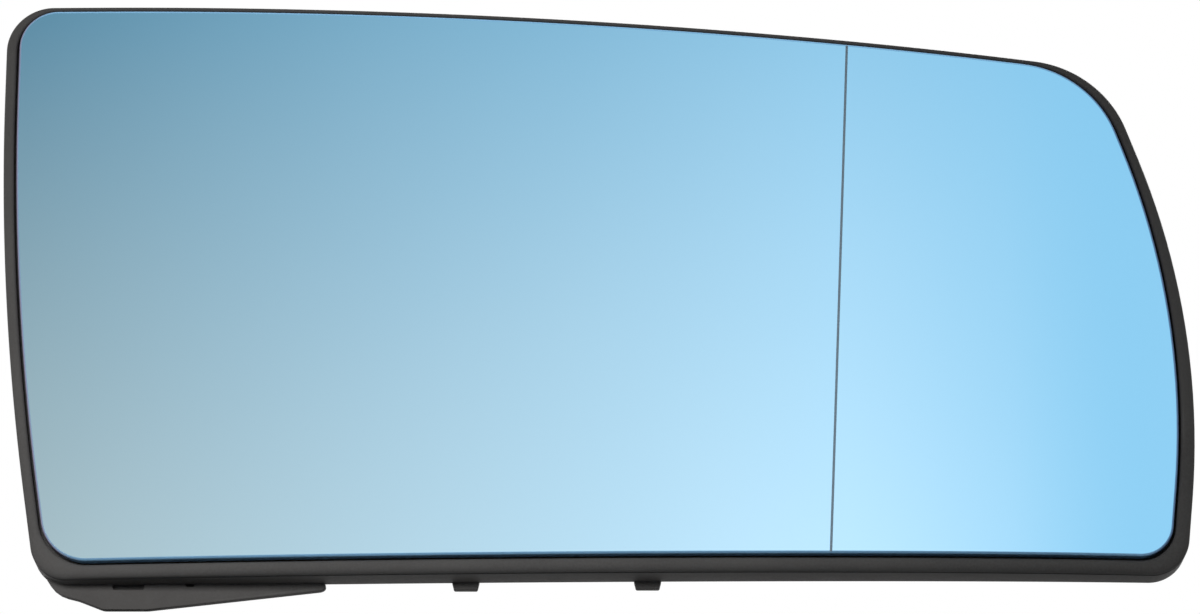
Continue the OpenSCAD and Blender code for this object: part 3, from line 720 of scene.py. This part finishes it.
def seat_rear():
    x = -BLADE_X - FOOT_LEN - SEAT_EDGE
    z = BLADE_Z + BLADE_PITCH + BLADE_W / 2 + SEAT_EDGE
    return FLOOR_REAR + curve_depth(x, z) + SEAT_H


def rim_foot_z(x):
    slope = (FOOT_OUT[1] - FOOT_IN[1]) / (FOOT_OUT[0] - FOOT_IN[0])
    return FOOT_IN[1] - LIP_BOTTOM + slope * (x - FOOT_IN[0])


def flange_shape():
    """Flange below the rim's inboard end. Its upper edge ends in the middle of the wall."""
    foot = rim_foot_z(FLANGE_FOOT_IN) - FLANGE_DROP
    end = rim_foot_z(FLANGE_END)
    root = (FOOT_IN[0] - FLANGE_ROOT_OUT, FOOT_IN[1] - FLANGE_ROOT_DROP)
    lower = [(FLANGE_END + 1, end - FLANGE_END_DROP / 2, 0.6), (FLANGE_END, end - FLANGE_END_DROP, 1.2),
             (FLANGE_FOOT_OUT, foot, 3.0), (FLANGE_FOOT_IN, foot, 2.0),
             (FLANGE_DIP, rim_foot_z(FLANGE_DIP) - FLANGE_DIP_DROP, 4.0),
             (FLANGE_HIP, rim_foot_z(FLANGE_HIP) - FLANGE_HIP_DROP, 5.0), (root[0], root[1], 0)]
    upper = [(p[0], p[1], 0) for p in outline(1.0, WALL_T / 2)
             if p[1] < root[1] and root[0] < p[0] < FLANGE_END + 2]
    pts = lower + upper
    return plate_shape(softened([(p[0], p[1]) for p in pts], [p[2] for p in pts]),
                       -FLANGE_FRONT, -FLANGE_FRONT + FLANGE_T)


def recess_shape(middle, width, height):
    """Block that sinks a recess into the flange's front, just under the wall."""
    low = rim_foot_z(middle) - height
    pts = [(middle - width / 2, low + height + 0.5), (middle - width / 2, low), (middle + width / 2, low),
           (middle + width / 2, low + height + 0.5)]
    return plate_shape(softened(pts, [0, 0.3, 0.3, 0]), -FLANGE_FRONT - 1.0, -FLANGE_FRONT + RECESS_DEPTH)


def tab_shape(x):
    root = rim_foot_z(x)
    half = TAB_W / 2
    pts = [(x - half, root + 1.0), (x - half, root), (x - half + TAB_TAPER, root - TAB_DROP),
           (x + half - TAB_TAPER, root - TAB_DROP), (x + half, root), (x + half, root + 1.0)]
    return plate_shape(softened(pts, [0, 0, 0.3, 0.3, 0, 0]), -FLANGE_FRONT, -FLANGE_FRONT + FLANGE_T)


def terminal_z(k):
    return BLADE_Z + k * BLADE_PITCH


def make_flange(black):
    bm = bmesh.new()
    into(bm, flange_shape(), 0.22)
    flange = made("flange", bm, [black])
    cutters = []
    for k, recess in enumerate(RECESSES):
        bm = bmesh.new()
        into(bm, recess_shape(*recess))
        cutters.append(made(f"recess_{k}", bm, []))
    cut(flange, cutters)
    return flange


def make_holder(black):
    """The whole moulding: tray with rim, wall, flange and tabs, and on its back the hub, the snap
    claws and their ring, the ribs, the keepers of the wire and the seats of the terminals."""
    bm = bmesh.new()
    into(bm, tray_shape())
    holder = made("holder", bm, [black])
    cutters = []
    for k in range(CLAW_COUNT):
        bm = bmesh.new()
        into(bm, window_shape((k + 0.5) * 360 / CLAW_COUNT))
        cutters.append(made(f"window_{k}", bm, []))
    rivet_x = -BLADE_X - FOOT_LEN * RIVET_SHARE
    reach = RIVET_R + RIVET_GAP
    for k in range(2):
        bm = bmesh.new()
        hole = turned([(0.001, -GLASS_FRONT), (reach, -GLASS_FRONT), (reach, 2.0), (0.001, 2.0)],
                      steps=32)
        into(bm, shifted(hole, Matrix.Translation((rivet_x, 0, terminal_z(k)))))
        cutters.append(made(f"rivet_hole_{k}", bm, []))
    cut(holder, cutters)
    flange = make_flange(black)
    bm = bmesh.new()
    bm.from_mesh(holder.data)
    bm.from_mesh(flange.data)
    bmesh.ops.scale(bm, vec=(1 / MM, 1 / MM, 1 / MM), verts=bm.verts[:])
    bpy.data.objects.remove(holder)
    bpy.data.objects.remove(flange)

    for x in (-TAB_X, TAB_X):
        into(bm, tab_shape(x), 0.2)
    for deg in RIB_ANGLES:
        angles = {deg, -deg, 180 - deg, 180 + deg} if deg else {0, 180}
        for a in sorted(angles):
            into(bm, rib_shape(a))
    into(bm, loop_rib_shape())
    chamfer = HUB_CHAMFER
    bore = HUB_BORE_R
    bottom = -HUB_BORE_DEPTH
    foot = FLOOR_REAR - BOND
    outer = bore + HUB_WALL
    into(bm, turned([(outer + 0.9, foot), (outer + 0.9, FLOOR_REAR + 0.05),
                     (outer + 0.3, FLOOR_REAR + 0.3), (outer, FLOOR_REAR + 0.9),
                     (outer - 0.08, chamfer - 0.25), (outer - 0.3, chamfer),
                     (bore + chamfer, chamfer), (bore, 0.0), (bore, bottom + 0.4),
                     (bore - 0.15, bottom + 0.1), (bore - 0.5, bottom),
                     (bore - 0.5, foot)], 0, 360, 96))
    into(bm, turned([(0.02, foot), (bore - 0.4, foot),
                     (bore - 0.4, bottom), (2.4, bottom),
                     (2.1, bottom + 0.25), (1.1, bottom + 0.3),
                     (1.0, bottom + 0.1), (0.02, bottom + 0.05)], 0, 360, 48))
    tie_in = CLAW_R + CLAW_T / 2
    tie_out = CLAW_R + CLAW_T + TIE_W
    into(bm, turned([(tie_in, foot), (tie_out + 0.4, foot),
                     (tie_out + 0.4, FLOOR_REAR + 0.1), (tie_out, FLOOR_REAR + 0.5),
                     (tie_out, FLOOR_REAR + TIE_H - 0.2), (tie_out - 0.2, FLOOR_REAR + TIE_H),
                     (tie_in, FLOOR_REAR + TIE_H)], 0, 360, 120))
    for k in range(CLAW_COUNT):
        into(bm, claw_shape((k + 0.5) * 360 / CLAW_COUNT), 0.14)
    places = []
    for s in (-1, 1):
        places.append(Matrix.Translation((LEG_X, 0, s * KEEPER_Z)))
        places.append(Matrix.Translation((-LEG_X, 0, s * KEEPER_Z)) @ Matrix.Scale(-1, 4, (1, 0, 0)))
    places.append(Matrix.Translation((0, 0, -BAR_Z)) @ Matrix.Rotation(math.radians(-90), 4, "Y"))
    for place in places:
        for shape in keeper_shapes():
            into(bm, shifted(shape, place), 0.2)
    rear = seat_rear()
    for k in (0, 1):
        z = terminal_z(k)
        into(bm, block(-BLADE_X - FOOT_LEN - SEAT_EDGE, -BLADE_X + SEAT_EDGE, FLOOR_REAR - BOND, rear,
                       z - BLADE_W / 2 - SEAT_EDGE, z + BLADE_W / 2 + SEAT_EDGE), 0.2)
    for x, z in PIN_PLACES:
        floor = curve_depth(x, z) + FLOOR_REAR
        into(bm, shifted(turned(PIN_MARK, 0, 360, 40), Matrix.Translation((x, floor, z))))
    return made("holder", bm, [black])


def make_spring(steel):
    """One length of round wire, bent in its plane, with rounded ends."""
    y = -WIRE_SETBACK

    def bend(x, z, r, start, span, steps):
        angles = [math.radians(start + span * k / steps) for k in range(1, steps + 1)]
        return [(x + r * math.cos(a), z + r * math.sin(a)) for a in angles]

    half = [(0.0, -BAR_Z), (LEG_X - BAR_BEND_R, -BAR_Z)]
    half += bend(LEG_X - BAR_BEND_R, BAR_BEND_R - BAR_Z, BAR_BEND_R, 270, 90, 12)
    half += [(LEG_X, z) for z in (-20.0, 0.0, 20.0)]
    half.append((LEG_X, LEG_TOP_Z - END_BEND_R))
    half += bend(LEG_X + END_BEND_R, LEG_TOP_Z - END_BEND_R, END_BEND_R, 180, -90, 10)
    half.append((LEG_X + END_BEND_R + END_LEN, LEG_TOP_Z))
    path = [(-x, z) for x, z in reversed(half[1:])] + half
    r = WIRE_D / 2
    turns = [2 * math.pi * m / WIRE_SIDES for m in range(WIRE_SIDES)]
    sections = []
    last = len(path) - 1
    for k, (x, z) in enumerate(path):
        a = Vector(path[max(0, k - 1)])
        b = Vector(path[min(last, k + 1)])
        d = unit(b - a)
        side = Vector((-d[1], d[0]))
        ends = [(r * 0.55, 0.0), (r * 0.85, 0.18), (r, 0.45)] if k in (0, last) else [(r, 0.0)]
        if k == last:
            ends = ends[::-1]
        for rr, back in ends:
            shift = d * back if k == 0 else d * (-back if k == last else 0)
            c = Vector((x + shift[0], y, z + shift[1]))
            sections.append([c + Vector((side[0] * rr * math.cos(t), rr * math.sin(t),
                                         side[1] * rr * math.cos(t))) for t in turns])
    bm = bmesh.new()
    into(bm, grid_shape(sections))
    return made("spring", bm, [steel], smooth_deg=45.0)


# Node groups that several materials share


def group(name, inputs, outputs):
    tree = bpy.data.node_groups.new(name, "ShaderNodeTree")
    for label, value in inputs:
        socket = tree.interface.new_socket(name=label, in_out="INPUT", socket_type="NodeSocketFloat")
        socket.default_value = value
    for label in outputs:
        tree.interface.new_socket(name=label, in_out="OUTPUT", socket_type="NodeSocketFloat")
    return tree, tree.nodes.new("NodeGroupInput"), tree.nodes.new("NodeGroupOutput")


def add(tree, kind, **props):
    node = tree.nodes.new(kind)
    for key, value in props.items():
        setattr(node, key, value)
    return node


def math_node(tree, operation, a, b=None, clamp=False):
    node = add(tree, "ShaderNodeMath", operation=operation, use_clamp=clamp)
    for k, value in enumerate((a, b)):
        if value is None:
            continue
        if isinstance(value, (int, float)):
            node.inputs[k].default_value = value
        else:
            tree.links.new(value, node.inputs[k])
    return node.outputs[0]


def mix_colours(tree, mask, first, second):
    """Blends two colours, each a plain colour or another node's output."""
    node = add(tree, "ShaderNodeMix", data_type="RGBA")
    tree.links.new(mask, node.inputs["Factor"])
    targets = [s for s in node.inputs if s.type == "RGBA"]
    for target, value in zip(targets, (first, second)):
        if isinstance(value, tuple):
            target.default_value = (*value, 1.0)
        else:
            tree.links.new(value, target)
    return [s for s in node.outputs if s.type == "RGBA"][0]


def mix_shaders(tree, mask, first, second):
    node = add(tree, "ShaderNodeMixShader")
    for target, output in zip(node.inputs, (mask, first, second)):
        tree.links.new(output, target)
    return node.outputs[0]


def axes(tree, output):
    """X, Y and Z of another node's output."""
    split = add(tree, "ShaderNodeSeparateXYZ")
    tree.links.new(output, split.inputs[0])
    return split.outputs


def map_range(tree, value, low, high, to_low=0.0, to_high=1.0, smooth=False):
    node = add(tree, "ShaderNodeMapRange", interpolation_type="SMOOTHSTEP" if smooth else "LINEAR")
    tree.links.new(value, node.inputs["Value"])
    node.inputs["From Min"].default_value = low
    node.inputs["From Max"].default_value = high
    node.inputs["To Min"].default_value = to_low
    node.inputs["To Max"].default_value = to_high
    return node.outputs["Result"]


def noise(tree, vector, scale, detail=2.0, rough=0.5):
    node = add(tree, "ShaderNodeTexNoise")
    tree.links.new(vector, node.inputs["Vector"])
    if isinstance(scale, (int, float)):
        node.inputs["Scale"].default_value = scale
    else:
        tree.links.new(scale, node.inputs["Scale"])
    node.inputs["Detail"].default_value = detail
    node.inputs["Roughness"].default_value = rough
    return node.outputs["Fac"]


def surface_grain():
    """Fine spark-eroded grain of a mould, or the grain of worked metal."""
    tree, into_group, out = group("surface_grain", [("Cells per metre", 2500.0), ("Depth", 1.0)],
                                  ["Height", "Mask"])
    where = add(tree, "ShaderNodeTexCoord").outputs["Object"]
    soft = noise(tree, where, into_group.outputs["Cells per metre"], 3.0, 0.6)
    cells = add(tree, "ShaderNodeTexVoronoi")
    tree.links.new(where, cells.inputs["Vector"])
    tree.links.new(into_group.outputs["Cells per metre"], cells.inputs["Scale"])
    both = math_node(tree, "ADD", math_node(tree, "MULTIPLY", soft, 0.6),
                     math_node(tree, "MULTIPLY", cells.outputs["Distance"], 0.5))
    tree.links.new(math_node(tree, "MULTIPLY", both, into_group.outputs["Depth"]), out.inputs["Height"])
    tree.links.new(map_range(tree, both, 0.25, 0.75), out.inputs["Mask"])
    return tree


def edge_rub():
    """Handling wear along edges that stand out."""
    tree, into_group, out = group("edge_rub", [("Strength", 0.5), ("Patches per metre", 120.0)], ["Mask"])
    where = add(tree, "ShaderNodeTexCoord").outputs["Object"]
    crest = map_range(tree, add(tree, "ShaderNodeNewGeometry").outputs["Pointiness"], 0.51, 0.60)
    patch = map_range(tree, noise(tree, where, into_group.outputs["Patches per metre"], 4.0), 0.4, 0.7)
    rubbed = math_node(tree, "MULTIPLY", crest, patch)
    mask = math_node(tree, "MULTIPLY", rubbed, into_group.outputs["Strength"], True)
    tree.links.new(mask, out.inputs["Mask"])
    return tree


def dust_film():
    """Thin uneven dust, most on what faces up."""
    tree, into_group, out = group("dust_film", [("Amount", 0.3), ("Patches per metre", 60.0)], ["Mask"])
    where = add(tree, "ShaderNodeTexCoord").outputs["Object"]
    normal = axes(tree, add(tree, "ShaderNodeNewGeometry").outputs["Normal"])
    up = map_range(tree, normal["Z"], -0.6, 1.0, 0.15, 1.0)
    patches = noise(tree, where, into_group.outputs["Patches per metre"], 5.0, 0.6)
    broad = map_range(tree, patches, 0.35, 0.75)
    specks = map_range(tree, noise(tree, where, 3200.0, 2.0), 0.62, 0.72, 0.0, 0.6)
    cover = math_node(tree, "MULTIPLY", math_node(tree, "ADD", broad, specks), up)
    mask = math_node(tree, "MULTIPLY", cover, into_group.outputs["Amount"], True)
    tree.links.new(mask, out.inputs["Mask"])
    return tree


class Finish:
    """One material in the making: its Principled shader and helpers that feed it."""

    def __init__(self, name):
        self.mat = bpy.data.materials.new(name)
        self.mat.use_nodes = True
        self.tree = self.mat.node_tree
        self.shader = self.tree.nodes["Principled BSDF"]
        self.where = add(self.tree, "ShaderNodeTexCoord").outputs["Object"]

    def set(self, **values):
        for key, value in values.items():
            self.shader.inputs[key.replace("_", " ")].default_value = value

    def feed(self, socket, output):
        self.tree.links.new(output, self.shader.inputs[socket])

    def effect(self, tree, **values):
        node = add(self.tree, "ShaderNodeGroup", node_tree=tree)
        for key, value in values.items():
            node.inputs[key.replace("_", " ")].default_value = value
        return node

    def blend(self, mask, first, second):
        return mix_colours(self.tree, mask, first, second)

    def bump(self, height, distance, strength=1.0):
        node = add(self.tree, "ShaderNodeBump")
        node.inputs["Strength"].default_value = strength
        node.inputs["Distance"].default_value = distance
        self.tree.links.new(height, node.inputs["Height"])
        self.feed("Normal", node.outputs["Normal"])


def mirror_coat_finish(dust):
    """Blue chrome coat: clean mirror with the faintest unevenness and a trace of dust."""
    f = Finish("mirror_coat")
    f.set(Metallic=1.0)
    tone = map_range(f.tree, noise(f.tree, f.where, 14.0, 2.0), 0.3, 0.7)
    coat = f.blend(tone, (0.403, 0.712, 0.955), (0.417, 0.724, 0.962))
    film = f.effect(dust, Amount=0.035, Patches_per_metre=35.0).outputs["Mask"]
    f.feed("Base Color", f.blend(film, coat, (0.52, 0.69, 0.80)))
    f.feed("Roughness", map_range(f.tree, film, 0.0, 0.2, 0.035, 0.12))
    return f.mat


def ground_edge_finish(grain):
    """Ground arris in the coat's blue where it faces down, with painted light by the way it faces: a
    painted reflection makes it lavender where it faces the inner end, and painted shade makes it dark
    where it faces the outer end.
    """
    f = Finish("ground_edge")
    f.set(Metallic=0.9)
    g = f.effect(grain, Cells_per_metre=6000.0, Depth=1.0)
    normal = axes(f.tree, add(f.tree, "ShaderNodeNewGeometry").outputs["Normal"])
    # Painted reflection and painted shade: the arris is made lighter lavender where its face turns to the
    # inner end and dark where it turns to the outer end, by the way it faces and not by its own colour.
    inboard = map_range(f.tree, normal["X"], -0.1, -0.6)
    outboard_painted_shade = map_range(f.tree, normal["X"], 0.0, 0.5)
    base = f.blend(g.outputs["Mask"], (0.28, 0.56, 0.86), (0.34, 0.64, 0.92))
    base = f.blend(inboard, base, (0.30, 0.28, 0.40))
    f.feed("Base Color", f.blend(outboard_painted_shade, base, (0.10, 0.17, 0.30)))
    f.feed("Roughness", map_range(f.tree, g.outputs["Mask"], 0.0, 1.0, 0.32, 0.46))
    f.bump(g.outputs["Height"], 0.00001, 0.6)
    return f.mat


def etched_line_finish(grain):
    f = Finish("etched_line")
    f.set(Metallic=0.25)
    g = f.effect(grain, Cells_per_metre=7000.0, Depth=1.0)
    f.feed("Base Color", f.blend(g.outputs["Mask"], (0.10, 0.15, 0.20), (0.20, 0.27, 0.33)))
    f.feed("Roughness", map_range(f.tree, g.outputs["Mask"], 0.0, 1.0, 0.5, 0.7))
    f.bump(g.outputs["Height"], 0.00001, 0.8)
    return f.mat


def moulded_black_finish(grain, rub, dust):
    """Satin black moulding with a fine grain, lighter where hands rub it, and some dust."""
    f = Finish("moulded_black")
    f.set(IOR=1.46, Specular_IOR_Level=0.15)
    g = f.effect(grain, Cells_per_metre=2600.0, Depth=1.0)
    flow = map_range(f.tree, noise(f.tree, f.where, 28.0, 4.0, 0.6), 0.3, 0.7)
    base = f.blend(flow, (0.042, 0.0405, 0.0395), (0.054, 0.052, 0.050))
    base = f.blend(g.outputs["Mask"], base, (0.058, 0.056, 0.055))
    worn = f.effect(rub, Strength=0.55, Patches_per_metre=140.0).outputs["Mask"]
    base = f.blend(worn, base, (0.085, 0.084, 0.082))
    film = f.effect(dust, Amount=0.10, Patches_per_metre=45.0).outputs["Mask"]
    f.feed("Base Color", f.blend(film, base, (0.22, 0.215, 0.20)))
    rough = math_node(f.tree, "ADD", map_range(f.tree, g.outputs["Mask"], 0.0, 1.0, 0.50, 0.64),
                      math_node(f.tree, "MULTIPLY", film, 0.4))
    rough = math_node(f.tree, "SUBTRACT", rough, math_node(f.tree, "MULTIPLY", worn, 0.12), True)
    f.feed("Roughness", rough)
    f.bump(g.outputs["Height"], 0.00002, 0.5)
    return f.mat


def foil_film_finish(grain):
    """Amber film with the printed tracks of the heater running to and fro along it."""
    f = Finish("foil_film")
    height = axes(f.tree, f.where)["Z"]
    wave = math_node(f.tree, "SINE", math_node(f.tree, "MULTIPLY", height, 1400.0))
    track = map_range(f.tree, wave, 0.1, 0.25)
    g = f.effect(grain, Cells_per_metre=4000.0, Depth=1.0)
    film = f.blend(g.outputs["Mask"], (0.30, 0.145, 0.045), (0.40, 0.21, 0.07))
    f.feed("Base Color", f.blend(track, film, (0.16, 0.155, 0.15)))
    f.feed("Roughness", map_range(f.tree, track, 0.0, 1.0, 0.28, 0.5))
    f.bump(track, 0.00002, 0.5)
    return f.mat


def spring_wire_finish(grain, rub):
    f = Finish("spring_wire")
    f.set(Metallic=1.0)
    drawn = noise(f.tree, f.where, 900.0, 3.0, 0.6)
    g = f.effect(grain, Cells_per_metre=5000.0, Depth=1.0)
    base = f.blend(map_range(f.tree, drawn, 0.3, 0.7), (0.42, 0.425, 0.44), (0.58, 0.585, 0.60))
    worn = f.effect(rub, Strength=0.5, Patches_per_metre=300.0).outputs["Mask"]
    f.feed("Base Color", f.blend(worn, base, (0.7, 0.7, 0.71)))
    f.feed("Roughness", map_range(f.tree, g.outputs["Mask"], 0.0, 1.0, 0.24, 0.38))
    f.bump(g.outputs["Height"], 0.00001, 0.5)
    return f.mat


def tinned_brass_finish(grain, rub):
    f = Finish("tinned_brass")
    f.set(Metallic=1.0)
    tarnish = map_range(f.tree, noise(f.tree, f.where, 420.0, 4.0, 0.6), 0.35, 0.7)
    g = f.effect(grain, Cells_per_metre=4500.0, Depth=1.0)
    base = f.blend(tarnish, (0.80, 0.62, 0.30), (0.62, 0.45, 0.21))
    worn = f.effect(rub, Strength=0.6, Patches_per_metre=500.0).outputs["Mask"]
    f.feed("Base Color", f.blend(worn, base, (0.90, 0.76, 0.46)))
    f.feed("Roughness", map_range(f.tree, g.outputs["Mask"], 0.0, 1.0, 0.22, 0.36))
    f.bump(g.outputs["Height"], 0.00001, 0.5)
    return f.mat


def rivet_finish(grain, rub):
    f = Finish("rivet_aluminium")
    f.set(Metallic=1.0)
    g = f.effect(grain, Cells_per_metre=5200.0, Depth=1.0)
    worn = f.effect(rub, Strength=0.6, Patches_per_metre=600.0).outputs["Mask"]
    base = f.blend(g.outputs["Mask"], (0.58, 0.58, 0.59), (0.70, 0.70, 0.71))
    f.feed("Base Color", f.blend(worn, base, (0.82, 0.82, 0.83)))
    f.feed("Roughness", map_range(f.tree, g.outputs["Mask"], 0.0, 1.0, 0.30, 0.46))
    f.bump(g.outputs["Height"], 0.00001, 0.5)
    return f.mat


def dress_solid(obj, mat, edge_mm):
    """Gives a solid of the frame its finish and slightly rounded edges."""
    obj.data.materials.clear()
    obj.data.materials.append(mat)
    weld = obj.modifiers.new("join", "WELD")
    weld.merge_threshold = 0.000002
    if edge_mm:
        soft = obj.modifiers.new("edges", "BEVEL")
        soft.width = edge_mm * MM
        soft.segments = 2
        soft.limit_method = "ANGLE"
        soft.angle_limit = math.radians(40)


# Studio


def floor_finish():
    """Pale floor, seen only from above. It runs out into white away from the object, for the
    camera, for glass and for glossy surfaces alike."""
    mat = bpy.data.materials.new("floor")
    mat.use_nodes = True
    tree = mat.node_tree
    tree.nodes.clear()
    out = add(tree, "ShaderNodeOutputMaterial")
    matte = add(tree, "ShaderNodeBsdfDiffuse")
    where = add(tree, "ShaderNodeTexCoord").outputs["Object"]
    patches = map_range(tree, noise(tree, where, 9.0, 3.0), 0.3, 0.7)
    tone = mix_colours(tree, patches, (0.80, 0.80, 0.80), (0.82, 0.82, 0.815))
    light = add(tree, "ShaderNodeLightPath")
    bounce = mix_colours(tree, light.outputs["Is Diffuse Ray"], tone, (FLOOR_BOUNCE,) * 3)
    tree.links.new(bounce, matte.inputs["Color"])
    white = add(tree, "ShaderNodeEmission")
    white.inputs["Color"].default_value = (1, 1, 1, 1)
    length = add(tree, "ShaderNodeVectorMath", operation="LENGTH")
    tree.links.new(where, length.inputs[0])
    far = map_range(tree, length.outputs["Value"], FLOOR_PALER_FROM, FLOOR_WHITE_FROM, smooth=True)
    seen = math_node(tree, "ADD", light.outputs["Is Camera Ray"], light.outputs["Is Glossy Ray"])
    seen = math_node(tree, "ADD", seen, light.outputs["Is Transmission Ray"], True)
    run_out = mix_shaders(tree, math_node(tree, "MULTIPLY", far, seen), matte.outputs[0], white.outputs[0])
    below = add(tree, "ShaderNodeNewGeometry").outputs["Backfacing"]
    clear = add(tree, "ShaderNodeBsdfTransparent").outputs[0]
    tree.links.new(mix_shaders(tree, below, run_out, clear), out.inputs[0])
    return mat


def make_floor(lowest):
    bm = bmesh.new()
    bmesh.ops.create_circle(bm, cap_ends=True, radius=FLOOR_R, segments=96)
    mesh = bpy.data.meshes.new("floor")
    bm.to_mesh(mesh)
    bm.free()
    mesh.materials.append(floor_finish())
    floor = bpy.data.objects.new("floor", mesh)
    bpy.context.scene.collection.objects.link(floor)
    floor.location = (0, 0, lowest - FLOOR_DROP)
    floor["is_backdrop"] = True


def make_world():
    """White studio. What shines or mirrors sees, in front of the glass, a wide soft screen that is
    pale near the horizon, falls off to blue-grey higher up and to the left, and is warmer low down."""
    world = bpy.data.worlds.new("studio")
    world.use_nodes = True
    bpy.context.scene.world = world
    tree = world.node_tree
    tree.nodes.clear()
    out = add(tree, "ShaderNodeOutputWorld")
    way = axes(tree, add(tree, "ShaderNodeTexCoord").outputs["Generated"])
    ahead = math_node(tree, "MAXIMUM", math_node(tree, "MULTIPLY", way["Y"], -1.0), 0.05)
    across = math_node(tree, "DIVIDE", way["X"], ahead)
    height = math_node(tree, "DIVIDE", way["Z"], ahead)
    from_left = map_range(tree, across, -0.30, 0.12)
    to_right = map_range(tree, across, 0.06, 0.36, smooth=True)
    low_down = map_range(tree, height, 0.50, 0.19)
    upper = mix_colours(tree, from_left, (0.265, 0.365, 0.39), (0.64, 0.79, 0.84))
    lower = mix_colours(tree, from_left, (0.91, 0.685, 0.55), (1.34, 1.20, 1.13))
    screen = mix_colours(tree, low_down, upper, lower)
    right = mix_colours(tree, low_down, (0.60, 0.82, 0.90), (0.70, 0.90, 0.97))
    screen = mix_colours(tree, to_right, screen, right)
    behind = map_range(tree, way["Y"], -0.55, -0.25)
    screen = mix_colours(tree, behind, screen, (1.0, 1.0, 1.0))

    rays = add(tree, "ShaderNodeLightPath")
    white = add(tree, "ShaderNodeBackground")
    shine = add(tree, "ShaderNodeBackground")
    fill = add(tree, "ShaderNodeBackground")
    fill.inputs["Strength"].default_value = STUDIO_FILL
    tree.links.new(screen, shine.inputs["Color"])
    for background in (white, fill):
        background.inputs["Color"].default_value = (1, 1, 1, 1)
    glossy = mix_shaders(tree, rays.outputs["Is Glossy Ray"], fill.outputs[0], shine.outputs[0])
    seen = math_node(tree, "ADD", rays.outputs["Is Camera Ray"], rays.outputs["Is Transmission Ray"], True)
    tree.links.new(mix_shaders(tree, seen, glossy, white.outputs[0]), out.inputs[0])


def make_lamp(name, place, aim, size, power, spread_deg=180.0, shines=True):
    data = bpy.data.lights.new(name, "AREA")
    data.shape = "RECTANGLE"
    data.size = size[0]
    data.size_y = size[1]
    data.energy = power
    data.spread = math.radians(spread_deg)
    lamp = bpy.data.objects.new(name, data)
    lamp.visible_camera = False
    lamp.visible_glossy = shines
    bpy.context.scene.collection.objects.link(lamp)
    lamp.location = place
    lamp.rotation_euler = (Vector(aim) - Vector(place)).to_track_quat("-Z", "Y").to_euler()


def make_camera():
    """Square on in azimuth and below the glass's axis, as the photograph was taken."""
    data = bpy.data.cameras.new("camera")
    data.lens = CAMERA_LENS
    data.sensor_width = 36
    data.clip_start = 0.05
    camera = bpy.data.objects.new("camera", data)
    bpy.context.scene.collection.objects.link(camera)
    camera.location = CAMERA_PLACE
    camera.rotation_euler = (math.radians(90 + CAMERA_BELOW_DEG), 0, 0)
    bpy.context.scene.camera = camera


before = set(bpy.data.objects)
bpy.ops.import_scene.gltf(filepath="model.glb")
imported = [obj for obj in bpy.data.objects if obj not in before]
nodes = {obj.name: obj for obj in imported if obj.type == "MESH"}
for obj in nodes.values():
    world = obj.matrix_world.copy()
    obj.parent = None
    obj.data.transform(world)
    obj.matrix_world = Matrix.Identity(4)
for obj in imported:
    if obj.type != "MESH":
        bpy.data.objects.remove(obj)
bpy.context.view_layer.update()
bpy.context.scene.view_settings.view_transform = "Standard"

grain = surface_grain()
rub = edge_rub()
dust = dust_film()

glass = make_glass(mirror_coat_finish(dust), ground_edge_finish(grain))
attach(glass, "root")
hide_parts("mirror_glass")

line = make_division_line(etched_line_finish(grain))
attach(line, "root")

holder = make_holder(moulded_black_finish(grain, rub, dust))
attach(holder, "root")
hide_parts("backing_plate")

spring = make_spring(spring_wire_finish(grain, rub))
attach(spring, "root")
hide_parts("retaining_spring")

dress_solid(nodes["heater_foil"], foil_film_finish(grain), 0)
brass = tinned_brass_finish(grain, rub)
dress_solid(nodes["terminal_upper"], brass, 0.08)
dress_solid(nodes["terminal_lower"], brass, 0.08)
dress_solid(nodes["terminal_rivets"], rivet_finish(grain, rub), 0.12)

make_world()
make_lamp("key", KEY_PLACE, KEY_AIM, KEY_SIZE, KEY_POWER, KEY_SPREAD_DEG, shines=False)
make_lamp("rear", REAR_PLACE, REAR_AIM, REAR_SIZE, REAR_POWER)
make_camera()
make_floor(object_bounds()[0][2])
